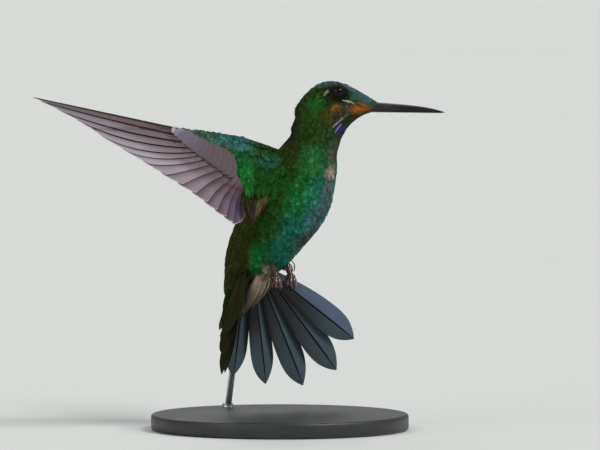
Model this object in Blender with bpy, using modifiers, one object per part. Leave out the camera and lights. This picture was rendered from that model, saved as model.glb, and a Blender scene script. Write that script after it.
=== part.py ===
"""A life-size hummingbird, a young male brilliant, hovering on a plain stand.

The bird faces +X with +Y on its left and +Z up. The origin is the middle of the
underside of the stand's base. Sizes below are in millimetres, and MM turns them
into metres where a mesh is made.
"""
import math

import bmesh
import bpy
from mathutils import Vector

MM = 0.001
GAP = 0.3                      # clearance between neighbouring solids

# Trunk, from the tail coverts up to the base of the neck. Each section is an ellipse:
# middle x, middle z, half depth, half width, lean of its plane in degrees.
TRUNK_SECTIONS = (
    (-19.0, 29.0, 0.9, 3.2, 8),
    (-18.0, 35.0, 2.0, 4.4, 9),
    (-15.6, 41.5, 4.0, 5.2, 12),
    (-14.6, 44.5, 5.6, 5.6, 14),
    (-12.6, 48.6, 7.4, 7.4, 18),
    (-9.8, 52.4, 9.4, 9.0, 22),
    (-6.6, 57.0, 10.8, 10.2, 26),
    (-1.9, 63.6, 12.0, 11.2, 30),
    (2.3, 69.2, 12.8, 11.8, 31),
    (5.6, 74.6, 12.8, 11.9, 30),
    (8.0, 79.2, 11.7, 11.2, 28),
    (10.8, 84.2, 9.9, 9.6, 26),
    (12.7, 88.7, 8.4, 8.0, 25),
)
# Neck and head, from there to the bill, turned about an upright line at x =
# NECK_PIVOT: throat reach and height, nape or crown reach and height, half
# width, turn to the left in degrees.
NECK_PIVOT = 13.6
HEAD_SECTIONS = (
    (7.9, 89.2, -7.6, 94.3, 7.6, 12),
    (8.9, 91.8, -6.5, 98.5, 7.4, 20),
    (10.3, 93.8, -6.0, 101.5, 7.2, 25),
    (11.0, 94.7, -3.0, 105.3, 7.2, 25),
    (12.2, 95.8, 1.1, 108.2, 7.2, 25),
    (13.5, 96.8, 5.7, 108.9, 6.6, 25),
    (14.9, 97.6, 10.4, 107.5, 5.4, 25),
    (16.4, 98.2, 14.6, 105.4, 3.9, 25),
    (18.3, 98.7, 17.7, 103.6, 2.6, 25),
    (20.1, 99.0, 20.3, 102.0, 1.9, 25),
)
NECK_START = 12                # index of the section where the neck begins
HEAD_START = 15                # and of the one where the head begins
RINGS_PER_SECTION = 2
BODY_SIDES = 24
HEAD_TURN = 25

EYE_REACH = 8.0                # ahead of the neck's pivot line
EYE_HEIGHT = 105.3
EYE_APART = 4.6                # each side of the head's middle plane
EYE_RADIUS = 2.25

BILL_START = 20.5
BILL_TIP = 40.6
BILL_BASE_HEIGHT = 99.0        # of its underside
BILL_TIP_HEIGHT = 98.9
BILL_DEPTH = 2.95
BILL_WIDTH = 3.3
BILL_TAPER = 4.0               # higher keeps the bill deep for longer
BILL_GAPE = 0.42               # the lower jaw's share of the depth
BILL_SPLIT = 0.12

# The wing stands in an upright plane through the shoulder. Its points are given
# as distance out along the wing and height.
SHOULDER = (4.9, 8.0)          # x, and y to either side
WING_BACK = 57.46              # degrees from straight back to straight out
ARM_LENGTH = 37.2
ARM_TOP = ((-5.0, 86.4), (5.3, 90.1), (12.7, 92.5), (25.9, 94.4), (37.2, 95.2))
ARM_BOTTOM = ((-5.0, 73.5), (12.5, 75.0), (18.6, 77.4), (25.9, 83.1), (30.9, 87.9), (37.2, 94.8))
ARM_THICKNESS = 6.4            # at the shoulder
WRIST_THICKNESS = 1.0
ARM_RINGS = 10
ARM_SIDES = 14
PRIMARY_TIPS = (
    (80.4, 104.5), (77.5, 103.2), (71.2, 100.1), (64.6, 96.6), (56.9, 91.7),
    (49.6, 87.4), (43.1, 83.6), (37.4, 80.0), (32.1, 76.8), (27.5, 73.9),
)
SECONDARY_TIPS = (
    (23.6, 71.0), (20.3, 68.5), (17.2, 66.3), (14.7, 64.7), (12.4, 65.2), (10.6, 67.7),
)
PRIMARY_ROOT_SPAN = (37.0, 25.6)
SECONDARY_ROOT_SPAN = (25.0, 11.8)
SHAFT_PLACE = 0.3              # of each feather's width, from its outer edge
BLADE_COLUMNS = (0.07, 0.36, 0.64, 0.93)
BLADE_ROWS = 4
BLADE_THICKNESS = 0.5
BLADE_NOTCH = 1.3
BLADE_STEP = 0.35
WING_CAMBER = 1.6

TAIL_ROOT = (-12.1, 0.0, 50.3)
TAIL_PITCH = 8.5               # the tail's lean back from straight down, degrees
TAIL_SWING = 5                 # of the whole fan towards the bird's right
# From the middle outwards: spread, droop of the feather, droop of its vane (all
# in degrees), length. The right half hangs straighter than the left.
TAIL_FEATHERS = {
    1: ((5, 10, 14, 34.8), (20.5, 20, 14, 38.4), (35.5, 25, 22, 42.8), (49.5, 28, 26, 43.9),
        (63, 30, 28, 39.5)),
    -1: ((19, 23, 48, 34.8), (31.5, 26, 48, 38.4), (43.5, 29, 48, 42.8), (55.5, 30, 48, 43.9),
         (63, 31, 48, 39.5)),
}
TAIL_ROOT_STEP = 1.15
TAIL_LAYER = 0.22              # each feather lies this much below the one inside it
TAIL_OVERLAP = 1.0             # the left middle feather lies this far above the right
TAIL_HALF_WIDTH = 4.5
TAIL_ROOT_HALF_WIDTH = 0.7
TAIL_WIDEST = 0.7              # of its length
TAIL_THICKNESS = 0.5
TAIL_COLUMNS = 4
TAIL_ROWS = 9

LEG_TOP = (-1.0, 4.0, 54.0)
LEG_ANKLE = (0.7, 4.0, 49.4)
LEG_RADIUS = 0.62
JOINT_RADIUS = 0.85
TOE_RADIUS = 0.6
TOE_LENGTH = 6.8
TOE_PITCH = 38                 # degrees below level where a toe leaves the joint
TOE_CURL = 95                  # and how far it curls under
TOE_ANGLES = (-47, 4, 52, 177)

BASE_RADIUS = 40.0
BASE_HEIGHT = 5.0
BASE_SIDES = 64
BASE_ROUNDING = 1.0
ROD_RADIUS = 1.0
ROD_FOOT = (-29.5, 13.0, 2.3)
ROD_HEAD = (-13.0, 2.2, 61.0)
ROD_SIDES = 20


def clear_scene():
    """Start from an empty scene."""
    for thing in list(bpy.data.objects):
        bpy.data.objects.remove(thing)


def collection(name):
    """A new collection in the scene."""
    group = bpy.data.collections.new(name)
    bpy.context.scene.collection.children.link(group)
    return group


def material(name, colour, roughness, metallic=0.0):
    """A plain finish."""
    finish = bpy.data.materials.new(name)
    finish.use_nodes = True
    shader = finish.node_tree.nodes["Principled BSDF"]
    shader.inputs["Base Color"].default_value = (*colour, 1.0)
    shader.inputs["Roughness"].default_value = roughness
    shader.inputs["Metallic"].default_value = metallic
    return finish


def add_object(name, mesh, group, finish):
    """Link a mesh object into a collection with its finish."""
    thing = bpy.data.objects.new(name, mesh)
    if finish:
        mesh.materials.append(finish)
    group.objects.link(thing)
    return thing


def mesh_from(bm, name, smooth=True):
    """Close off a bmesh with its faces pointing out."""
    bmesh.ops.recalc_face_normals(bm, faces=bm.faces)
    mesh = bpy.data.meshes.new(name)
    bm.to_mesh(mesh)
    bm.free()
    if smooth:
        mesh.shade_smooth()
        mesh.set_sharp_from_angle(angle=math.radians(50))
    return mesh


def as_cutter(thing):
    """Mark an object as a cutter."""
    thing.hide_render = True
    thing.display_type = "WIRE"
    return thing


def boolean(thing, cutter, operation="DIFFERENCE"):
    """Cut or join with the exact solver, and keep only the result."""
    modifier = thing.modifiers.new(operation.title(), "BOOLEAN")
    modifier.object = cutter
    modifier.operation = operation
    modifier.solver = "EXACT"
    return modifier


def evaluated_mesh(thing, name):
    """What an object's modifiers or bevel make of it, welded, as a new mesh."""
    graph = bpy.context.evaluated_depsgraph_get()
    bm = bmesh.new()
    bm.from_mesh(bpy.data.meshes.new_from_object(thing.evaluated_get(graph)))
    bmesh.ops.remove_doubles(bm, verts=bm.verts, dist=0.00001)
    return mesh_from(bm, name)


def loft(name, rings):
    """A closed skin over a row of rings that have equal numbers of points."""
    bm = bmesh.new()
    rows = [[bm.verts.new(Vector(point) * MM) for point in ring] for ring in rings]
    count = len(rows[0])
    for lower, upper in zip(rows, rows[1:]):
        for side in range(count):
            beside = (side + 1) % count
            bm.faces.new((lower[side], lower[beside], upper[beside], upper[side]))
    bm.faces.new(rows[0])
    bm.faces.new(rows[-1])
    return mesh_from(bm, name)


def spline(values, place):
    """A smooth curve through equally spaced values, read at a fractional index."""
    last = len(values) - 1
    index = min(int(place), last - 1)
    part = place - index
    before = values[max(index - 1, 0)]
    start = values[index]
    end = values[index + 1]
    after = values[min(index + 2, last)]
    pull_start = (end - before) * 0.5
    pull_end = (after - start) * 0.5
    rise = part * part * (3.0 - 2.0 * part)
    lead = part * (1.0 - part) ** 2
    trail = part * part * (part - 1.0)
    return start * (1.0 - rise) + end * rise + pull_start * lead + pull_end * trail


def interpolate(points, place):
    """Read a polyline of (distance, height) pairs at a distance."""
    for (x0, y0), (x1, y1) in zip(points, points[1:]):
        if place <= x1:
            return y0 + (y1 - y0) * (place - x0) / (x1 - x0)
    return points[-1][1]


# ---- body ----------------------------------------------------------------

def head_point(reach, height, aside=0.0, turn=HEAD_TURN):
    """A place given from the neck's pivot line, along the turned head."""
    angle = math.radians(turn)
    forward = Vector((math.cos(angle), math.sin(angle), 0.0))
    left = Vector((-math.sin(angle), math.cos(angle), 0.0))
    return Vector((NECK_PIVOT, 0.0, height)) + forward * reach + left * aside


def body_sections():
    """Middle, half depth towards the belly and half width of each section."""
    middles, depths, widths = [], [], []
    for x, z, depth, width, lean in TRUNK_SECTIONS:
        angle = math.radians(lean)
        middles.append(Vector((x, 0.0, z)))
        depths.append(Vector((math.cos(angle), 0.0, -math.sin(angle))) * depth)
        widths.append(Vector((0.0, width, 0.0)))
    for throat, throat_z, crown, crown_z, width, turn in HEAD_SECTIONS:
        below = head_point(throat, throat_z, turn=turn)
        above = head_point(crown, crown_z, turn=turn)
        middles.append((below + above) * 0.5)
        depths.append((below - above) * 0.5)
        widths.append(head_point(0.0, 0.0, width, turn) - head_point(0.0, 0.0, 0.0, turn))
    return middles, depths, widths


def body_ring(place, grow=0.0, shift=0.0):
    """One ring of the body, grown outwards and shifted along the body."""
    middles, depths, widths = body_sections()
    middle = spline(middles, place)
    depth = spline(depths, place)
    width = spline(widths, place)
    along = depth.cross(width).normalized()
    middle = middle + along * shift
    depth = depth + depth.normalized() * grow
    width = width + width.normalized() * grow
    ring = []
    for side in range(BODY_SIDES):
        angle = 2.0 * math.pi * side / BODY_SIDES
        ring.append(middle + depth * math.cos(angle) + width * math.sin(angle))
    return ring


def body_length(name, start, end, start_shift=0.0):
    """The length of body between two sections."""
    count = (end - start) * RINGS_PER_SECTION
    rings = [body_ring(start, shift=start_shift)]
    for index in range(1, count + 1):
        rings.append(body_ring(start + index / RINGS_PER_SECTION))
    return loft(name, rings)


def grown_trunk(grow):
    """The trunk and neck, grown all round, to trim what meets them."""
    rings = [body_ring(0, grow, -grow)]
    for index in range(1, HEAD_START * RINGS_PER_SECTION + 1):
        rings.append(body_ring(index / RINGS_PER_SECTION, grow))
    return loft("trunk_cutter", rings)


def ball(name, centre, radius, segments=14, rings=10):
    """A sphere's mesh, placed."""
    bm = bmesh.new()
    bmesh.ops.create_uvsphere(bm, u_segments=segments, v_segments=rings, radius=radius * MM)
    bmesh.ops.translate(bm, vec=Vector(centre) * MM, verts=bm.verts)
    return mesh_from(bm, name)


def make_body(parts, cutters, finishes):
    """Trunk, neck, head and eyes."""
    last = len(TRUNK_SECTIONS) + len(HEAD_SECTIONS) - 1
    trunk = add_object("trunk", body_length("trunk", 0, NECK_START), parts, finishes["green"])
    neck = body_length("neck", NECK_START, HEAD_START, GAP)
    add_object("neck", neck, parts, finishes["dark_green"])
    head = add_object("head", body_length("head", HEAD_START, last, GAP), parts, finishes["dark_green"])
    for side, name in ((1, "left"), (-1, "right")):
        centre = head_point(EYE_REACH, EYE_HEIGHT, side * EYE_APART)
        add_object("eye_" + name, ball("eye", centre, EYE_RADIUS), parts, finishes["eye"])
        socket = ball("socket", centre, EYE_RADIUS + GAP)
        boolean(head, as_cutter(add_object("socket_" + name, socket, cutters, None)))
    return trunk


# ---- bill ----------------------------------------------------------------

def bill_ring(part, upper):
    """A half-round ring of one jaw, at a part of the bill's length."""
    depth = BILL_DEPTH * (1.0 - 0.45 * part - 0.5 * part ** BILL_TAPER)
    width = BILL_WIDTH * 0.5 * (1.0 - 0.52 * part - 0.4 * part ** BILL_TAPER)
    under = BILL_BASE_HEIGHT + (BILL_TIP_HEIGHT - BILL_BASE_HEIGHT) * part
    gape = under + depth * BILL_GAPE
    reach = BILL_START + (BILL_TIP - BILL_START) * part
    if upper:
        rise, level = depth * (1.0 - BILL_GAPE), gape + BILL_SPLIT * 0.5
    else:
        rise, level = -depth * BILL_GAPE, gape - BILL_SPLIT * 0.5
    ring = []
    for step in range(9):
        angle = math.pi * step / 8
        ring.append(head_point(reach, level + rise * math.sin(angle), width * math.cos(angle)))
    return ring


def make_bill(parts, finishes):
    """The two jaws, which taper together to the tip."""
    for name, upper, share in (("bill_upper", True, 1.0), ("bill_lower", False, 0.97)):
        rings = [bill_ring(share * step / 10, upper) for step in range(11)]
        add_object(name, loft(name, rings), parts, finishes["bill"])


# ---- wings ---------------------------------------------------------------

def wing_point(out, height, side, lift=0.0):
    """A place in a wing's plane; lift is towards the wing's underside."""
    angle = math.radians(WING_BACK)
    along = Vector((-math.cos(angle), side * math.sin(angle), 0.0))
    under = Vector((math.sin(angle), side * math.cos(angle), 0.0))
    foot = Vector((SHOULDER[0], side * SHOULDER[1], height))
    return foot + along * out + under * lift


def arm_thickness(out):
    """How thick the arm is, at a distance out."""
    part = min(max(out / ARM_LENGTH, 0.0), 1.0)
    return WRIST_THICKNESS + (ARM_THICKNESS - WRIST_THICKNESS) * (1.0 - part) ** 1.5


def arm_ring(out, side):
    """A flat oval ring of the arm."""
    top = interpolate(ARM_TOP, out)
    bottom = interpolate(ARM_BOTTOM, out)
    middle = (top + bottom) * 0.5
    half = (top - bottom) * 0.5
    ring = []
    for step in range(ARM_SIDES):
        angle = 2.0 * math.pi * step / ARM_SIDES
        lift = arm_thickness(out) * 0.5 * math.sin(angle)
        ring.append(wing_point(out, middle + half * math.cos(angle), side, lift))
    return ring


def blade_tip(tips, place):
    """The trailing edge at a fractional feather, notched between feathers."""
    count = len(tips)
    index = place - SHAFT_PLACE
    points = [Vector(tip) for tip in tips]
    if index < 0.0:
        edge = points[0] + (points[1] - points[0]) * index
    elif index > count - 1:
        edge = points[-1] + (points[-1] - points[-2]) * (index - count + 1)
    else:
        edge = spline(points, index)
    return edge


def notch_depth(place):
    """How far the trailing edge falls back beside a feather's shaft."""
    part = place % 1.0
    if part < SHAFT_PLACE:
        away = (SHAFT_PLACE - part) / SHAFT_PLACE * 0.5
    else:
        away = (part - SHAFT_PLACE) / (1.0 - SHAFT_PLACE)
    return BLADE_NOTCH * away * away


def blade_point(tips, root_span, place, part, side):
    """A place on a blade, from a fractional feather and a part of its length."""
    count = len(tips)
    out = root_span[0] + (root_span[1] - root_span[0]) * place / count
    root = Vector((out, interpolate(ARM_BOTTOM, out) - GAP))
    tip = blade_tip(tips, place)
    along = tip - root
    flat = root + along * (part * (1.0 - notch_depth(place) / along.length))
    camber = -WING_CAMBER * math.sin(math.pi * part)
    step = BLADE_STEP * (place % 1.0 - 0.5) * min(1.0, part * 3.0)
    return wing_point(flat.x, flat.y, side, camber + step)


def wing_blade(name, tips, root_span, side):
    """A row of overlapping flight feathers as one thin, stepped sheet."""
    places = [index + column for index in range(len(tips)) for column in BLADE_COLUMNS]
    bm = bmesh.new()
    bmesh.ops.create_grid(bm, x_segments=len(places) - 1, y_segments=BLADE_ROWS, size=0.5)
    for vert in bm.verts:
        column = round((vert.co.x + 0.5) * (len(places) - 1))
        part = vert.co.y + 0.5
        vert.co = blade_point(tips, root_span, places[column], part, side) * MM
    return mesh_from(bm, name)


def solidify(thing, thickness):
    """Give a sheet its thickness, half to each side."""
    modifier = thing.modifiers.new("Solidify", "SOLIDIFY")
    modifier.thickness = thickness * MM
    modifier.offset = 0.0


def make_wing(side, name, parts, trimmer, finishes):
    """Arm, secondaries and primaries of one wing."""
    rings = []
    for step in range(ARM_RINGS + 1):
        out = ARM_TOP[0][0] + (ARM_LENGTH - ARM_TOP[0][0]) * step / ARM_RINGS
        rings.append(arm_ring(out, side))
    arm = add_object("wing_" + name + "_arm", loft("arm", rings), parts, finishes["green"])
    boolean(arm, trimmer)
    rows = (("primaries", PRIMARY_TIPS, PRIMARY_ROOT_SPAN),
            ("secondaries", SECONDARY_TIPS, SECONDARY_ROOT_SPAN))
    for row, tips, span in rows:
        sheet = wing_blade(row, tips, span, side)
        blade = add_object("wing_" + name + "_" + row, sheet, parts, finishes["vane"])
        solidify(blade, BLADE_THICKNESS)


# ---- tail ----------------------------------------------------------------

def tail_half_width(part):
    """Half a tail feather's width along its length, ending in a blunt point."""
    if part < TAIL_WIDEST:
        swell = math.sin(0.5 * math.pi * part / TAIL_WIDEST) ** 1.5
        return TAIL_ROOT_HALF_WIDTH + (TAIL_HALF_WIDTH - TAIL_ROOT_HALF_WIDTH) * swell
    past = (part - TAIL_WIDEST) / (1.0 - TAIL_WIDEST)
    return TAIL_HALF_WIDTH * (1.0 - 0.94 * past ** 2.2)


def tail_frame():
    """Straight down along the tail, and straight out of its underside."""
    pitch = math.radians(TAIL_PITCH)
    down = Vector((-math.sin(pitch), 0.0, -math.cos(pitch)))
    front = Vector((math.cos(pitch), 0.0, -math.sin(pitch)))
    return down, front


def tail_sheet(index, side):
    """One tail feather as a thin sheet, rolled so that it tucks under the next."""
    spread, droop, vane_droop, length = TAIL_FEATHERS[side][index]
    angle = math.radians(spread - side * TAIL_SWING)
    down, front = tail_frame()
    aside = Vector((0.0, side, 0.0))
    slope = aside * math.cos(math.radians(droop)) + front * math.sin(math.radians(droop))
    direction = down * math.cos(angle) + slope * math.sin(angle)
    tuck = math.radians(vane_droop)
    lift = TAIL_LAYER * index * side
    if index == 0 and side > 0:
        lift = -TAIL_OVERLAP
    vane_slope = aside * math.cos(tuck) + front * math.sin(tuck)
    across = (vane_slope - direction * vane_slope.dot(direction)).normalized()
    root = Vector(TAIL_ROOT) + slope * (TAIL_ROOT_STEP * (index + 0.5)) + front * lift
    bm = bmesh.new()
    bmesh.ops.create_grid(bm, x_segments=TAIL_COLUMNS, y_segments=TAIL_ROWS, size=0.5)
    for vert in bm.verts:
        part = vert.co.y + 0.5
        offset = across * (2.0 * vert.co.x * tail_half_width(part))
        vert.co = (root + direction * (length * part) + offset) * MM
    return mesh_from(bm, "tail_feather")


def make_tail(parts, trimmer, finishes):
    """Five feathers to each side, in a fan that droops like a tent."""
    for side, name in ((1, "left"), (-1, "right")):
        for index in range(len(TAIL_FEATHERS[side])):
            label = "tail_feather_" + name + "_" + str(index + 1)
            feather = add_object(label, tail_sheet(index, side), parts, finishes["tail"])
            solidify(feather, TAIL_THICKNESS)
            boolean(feather, trimmer)


# ---- legs ----------------------------------------------------------------

def tube(name, points, radius, group, finish=None):
    """A round bar through points, as a closed mesh object."""
    curve = bpy.data.curves.new(name, "CURVE")
    curve.dimensions = "3D"
    curve.bevel_depth = radius * MM
    curve.bevel_resolution = 2
    curve.use_fill_caps = True
    line = curve.splines.new("POLY")
    line.points.add(len(points) - 1)
    for knot, point in zip(line.points, points):
        knot.co = (*(Vector(point) * MM), 1.0)
    guide = bpy.data.objects.new(name + "_curve", curve)
    group.objects.link(guide)
    mesh = evaluated_mesh(guide, name)
    bpy.data.objects.remove(guide)
    return add_object(name, mesh, group, finish)


def toe_points(joint, angle):
    """A toe that reaches out from the joint and curls under to its claw."""
    turn = math.radians(angle)
    forward = Vector((math.cos(turn), math.sin(turn), 0.0))
    steps = 5
    points = [joint]
    for step in range(steps):
        dip = math.radians(TOE_PITCH + TOE_CURL * step / (steps - 1))
        stride = forward * math.cos(dip) - Vector((0.0, 0.0, math.sin(dip)))
        points.append(points[-1] + stride * (TOE_LENGTH / steps))
    return points


def make_leg(side, name, parts, cutters, trimmer, finishes):
    """A short shank, and the foot below it with its four curled toes."""
    top = Vector((LEG_TOP[0], side * LEG_TOP[1], LEG_TOP[2]))
    ankle = Vector((LEG_ANKLE[0], side * LEG_ANKLE[1], LEG_ANKLE[2]))
    leg = tube("leg_" + name, (top, (top + ankle) * 0.5, ankle), LEG_RADIUS, parts, finishes["skin"])
    boolean(leg, trimmer)
    joint = ankle + (ankle - top).normalized() * (GAP + JOINT_RADIUS)
    foot = add_object("foot_" + name, ball("foot", joint, JOINT_RADIUS, 10, 8), parts, finishes["skin"])
    for number, angle in enumerate(TOE_ANGLES):
        toe = tube("toe_%s_%d" % (name, number), toe_points(joint, angle), TOE_RADIUS, cutters)
        boolean(foot, as_cutter(toe), "UNION")


# ---- stand ---------------------------------------------------------------

def bar(name, start, end, radius, sides):
    """A straight round bar's mesh from one point to another."""
    start = Vector(start)
    end = Vector(end)
    bm = bmesh.new()
    bmesh.ops.create_cone(bm, cap_ends=True, segments=sides, radius1=radius * MM, radius2=radius * MM,
                          depth=(end - start).length * MM)
    turn = (end - start).to_track_quat("Z", "Y").to_matrix()
    bmesh.ops.rotate(bm, cent=(0.0, 0.0, 0.0), matrix=turn, verts=bm.verts)
    bmesh.ops.translate(bm, vec=(start + end) * 0.5 * MM, verts=bm.verts)
    return mesh_from(bm, name)


def make_stand(parts, cutters, trunk, finishes):
    """A round base, and the rod that runs from it into the bird's flank."""
    disc = bar("base", (0.0, 0.0, 0.0), (0.0, 0.0, BASE_HEIGHT), BASE_RADIUS, BASE_SIDES)
    base = add_object("stand_base", disc, parts, finishes["base"])
    rounding = base.modifiers.new("Bevel", "BEVEL")
    rounding.width = BASE_ROUNDING * MM
    rounding.segments = 2
    rounding.limit_method = "ANGLE"
    rod = bar("rod", ROD_FOOT, ROD_HEAD, ROD_RADIUS, ROD_SIDES)
    add_object("stand_rod", rod, parts, finishes["rod"])
    along = (Vector(ROD_HEAD) - Vector(ROD_FOOT)).normalized()
    hole = bar("rod_hole", Vector(ROD_FOOT) - along * GAP, Vector(ROD_HEAD) + along * GAP,
               ROD_RADIUS + GAP, ROD_SIDES)
    cutter = as_cutter(add_object("rod_hole", hole, cutters, None))
    boolean(base, cutter)
    boolean(trunk, cutter)


def main():
    """Build the bird and its stand."""
    clear_scene()
    parts = collection("hummingbird")
    cutters = collection("cutters")
    finishes = {
        "green": material("body_feathers", (0.02, 0.10, 0.03), 0.4, 0.5),
        "dark_green": material("head_feathers", (0.03, 0.06, 0.03), 0.45, 0.4),
        "vane": material("wing_vanes", (0.20, 0.15, 0.17), 0.5),
        "tail": material("tail_vanes", (0.04, 0.07, 0.10), 0.4, 0.2),
        "bill": material("bill_horn", (0.03, 0.03, 0.02), 0.35),
        "eye": material("eye_black", (0.005, 0.004, 0.004), 0.05),
        "skin": material("leg_skin", (0.10, 0.06, 0.04), 0.6),
        "base": material("base_paint", (0.03, 0.03, 0.03), 0.4),
        "rod": material("rod_steel", (0.55, 0.55, 0.55), 0.3, 1.0),
    }
    trunk = make_body(parts, cutters, finishes)
    make_bill(parts, finishes)
    trimmer = as_cutter(add_object("trunk_cutter", grown_trunk(GAP), cutters, None))
    for side, name in ((1, "left"), (-1, "right")):
        make_wing(side, name, parts, trimmer, finishes)
        make_leg(side, name, parts, cutters, trimmer, finishes)
    make_tail(parts, trimmer, finishes)
    make_stand(parts, cutters, trunk, finishes)


main()
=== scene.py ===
import math

import bmesh
import bpy
import numpy as np
from bpy.props import FloatProperty, FloatVectorProperty, IntProperty, PointerProperty
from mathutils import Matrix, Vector
from mathutils.bvhtree import BVHTree


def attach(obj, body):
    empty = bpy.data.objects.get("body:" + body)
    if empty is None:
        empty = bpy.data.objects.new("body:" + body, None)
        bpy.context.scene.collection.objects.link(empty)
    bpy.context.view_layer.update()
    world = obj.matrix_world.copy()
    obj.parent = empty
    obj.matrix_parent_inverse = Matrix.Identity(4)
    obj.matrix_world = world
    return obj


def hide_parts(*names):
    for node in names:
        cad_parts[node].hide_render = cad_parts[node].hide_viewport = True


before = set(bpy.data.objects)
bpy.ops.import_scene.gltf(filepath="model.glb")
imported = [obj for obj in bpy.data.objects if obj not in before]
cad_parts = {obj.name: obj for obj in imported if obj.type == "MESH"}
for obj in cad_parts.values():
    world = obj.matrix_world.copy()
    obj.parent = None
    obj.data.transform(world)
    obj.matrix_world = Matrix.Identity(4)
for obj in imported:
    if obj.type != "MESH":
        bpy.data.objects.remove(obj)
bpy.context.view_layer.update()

bl_info = {
    "name": "Hummingbird in flight",
    "version": (1, 0, 0),
    "blender": (4, 5, 0),
    "location": "View3D > Sidebar > Hummingbird",
    "description": "Skin, feathers, bill, eyes, feet and stand of a life-size hummingbird",
    "category": "Object",
}

MM = 0.001                     # lengths below are millimetres
FULL_TURN = 2.0 * math.pi
SIDES = ((1, "left"), (-1, "right"))

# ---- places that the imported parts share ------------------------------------

NECK_PIVOT = 13.6              # x of the upright line that the head turns about
HEAD_TURN = 25.0               # degrees to the bird's left
EYE_REACH, EYE_HEIGHT, EYE_APART, EYE_RADIUS = 7.8, 105.3, 4.6, 2.25
EYE_ROWS, EYE_SIDES = 28, 48
CORNEA_HEIGHT, CORNEA_SPREAD = 0.12, 0.5        # over the eyeball, and in radians

BILL_START, BILL_TIP = 20.5, 40.6
BILL_BASE_HEIGHT, BILL_TIP_HEIGHT = 99.0, 98.9
BILL_DEPTH, BILL_WIDTH = 2.95, 3.3
BILL_GAPE = 0.42               # the lower jaw's share of the depth
BILL_ROWS, BILL_SIDES = 60, 28          # faces along a jaw and round it

SHOULDER = (4.9, 8.0)          # x, and y to either side
WING_BACK = 57.46              # degrees from straight back to straight out
ARM_LENGTH = 37.2
ARM_THICK, ARM_THIN = 6.4, 1.0          # at the shoulder, and at its outer end
ARM_TOP = ((-5.0, 86.4), (5.3, 90.1), (12.7, 92.5), (25.9, 94.4), (37.2, 95.2))
ARM_BOTTOM = ((-5.0, 73.5), (12.5, 75.0), (18.6, 77.4), (25.9, 83.1), (30.9, 87.9), (37.2, 94.8))
PRIMARY_TIPS = (
    (80.4, 104.5), (77.5, 103.2), (71.2, 100.1), (64.6, 96.6), (56.9, 91.7),
    (49.6, 87.4), (43.1, 83.6), (37.4, 80.0), (32.1, 76.8), (27.5, 73.9),
)
SECONDARY_TIPS = (
    (23.6, 71.0), (20.3, 68.5), (17.2, 66.3), (14.7, 64.7), (12.4, 65.2), (10.6, 67.7),
)
# Where the shaft of each flight feather starts under the coverts, from P10 inwards.
QUILL_ROOTS = (
    (33.5, 94.2), (31.8, 92.0), (30.2, 90.0), (28.6, 88.3), (26.8, 87.1), (25.0, 86.2), (22.6, 85.3),
    (20.0, 84.2), (17.6, 82.8), (15.8, 81.4), (14.6, 80.2), (13.7, 79.0), (12.9, 77.8), (12.2, 76.7),
    (11.6, 75.7), (11.0, 74.7),
)
# The lower edge of the small wing coverts, and of the grey greater coverts.
COVERT_EDGE = (
    (12.2, 74.2), (14.5, 77.1), (15.0, 80.8), (15.4, 84.7), (18.2, 86.4),
    (21.7, 87.8), (26.3, 89.6), (29.5, 90.6), (34.7, 94.0),
)
# Roots and tips of the grey greater coverts, from the outer end inwards.
GREATER_ROOTS = (
    (32.0, 94.0), (30.2, 93.4), (28.2, 92.6), (26.0, 91.6), (23.8, 90.6), (21.6, 89.7), (19.6, 88.7),
    (17.8, 87.6), (16.4, 86.4),
)
GREATER_TIPS = (
    (35.9, 93.9), (34.6, 92.4), (32.6, 90.4), (30.2, 88.3), (27.4, 86.2), (24.6, 84.2), (21.9, 82.2),
    (19.2, 80.3), (16.8, 78.8),
)

TAIL_ROOT = (-12.1, 0.0, 50.3)
TAIL_PITCH, TAIL_SWING = 8.5, 5.0
TAIL_FEATHERS = {              # spread, droop, droop of the vane, length; from the middle outwards
    1: ((5, 10, 14, 34.8), (20.5, 20, 14, 38.4), (35.5, 25, 22, 42.8), (49.5, 28, 26, 43.9),
        (63, 30, 28, 39.5)),
    -1: ((19, 23, 48, 34.8), (31.5, 26, 48, 38.4), (43.5, 29, 48, 42.8), (55.5, 30, 48, 43.9),
         (63, 31, 48, 39.5)),
}
TAIL_HALF_WIDTH, TAIL_THICKNESS, TAIL_SHAFT_RADIUS = 4.5, 0.2, 0.3

LEG_TOP, LEG_ANKLE = (-1.0, 4.0, 54.0), (0.7, 4.0, 49.4)
JOINT_RADIUS = 0.85
TOE_LENGTH, TOE_PITCH, TOE_CURL = 6.8, 38.0, 95.0
TOE_ANGLES = (-47, 4, 52, 177)
TOE_STEPS, TOE_FLESH = 30, 20           # steps along a toe, and those before its claw
SHANK_RADIUS, PAD_RADIUS, TOE_RADIUS, CLAW_RADIUS = 0.62, 0.92, 0.74, 0.37
SHANK_STEPS, LEG_SIDES = 18, 12

BASE_RADIUS, BASE_HEIGHT = 40.0, 5.0
ROD_RADIUS = 1.0
ROD_FOOT, ROD_HEAD = (-29.5, 13.0, 2.3), (-13.0, 2.2, 61.0)
BASE_SIDES, ROD_SIDES, ROD_STEPS = 160, 28, 40
COLLAR = ((-0.4, 1.9), (0.5, 1.9), (1.1, 1.6), (1.4, 1.1))      # heights up the rod, and radii

FLESH = ("trunk", "neck", "head", "wing_left_arm", "wing_right_arm")
HEAD_PART, ARM_PART = 2, 3     # places in that list: the head, and the first of the arms
COAT_DEPTH = 0.45              # of the feathers over the skin
ARM_COAT_SHARE = 0.2           # the most of an arm's thickness that its coat takes
SWELL = 0.3                    # that closes the cuts between the flesh parts
SKIN_STEP = 0.42               # size of the skin's faces
SKIN_SMOOTHING = 6             # passes over the new skin

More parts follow.
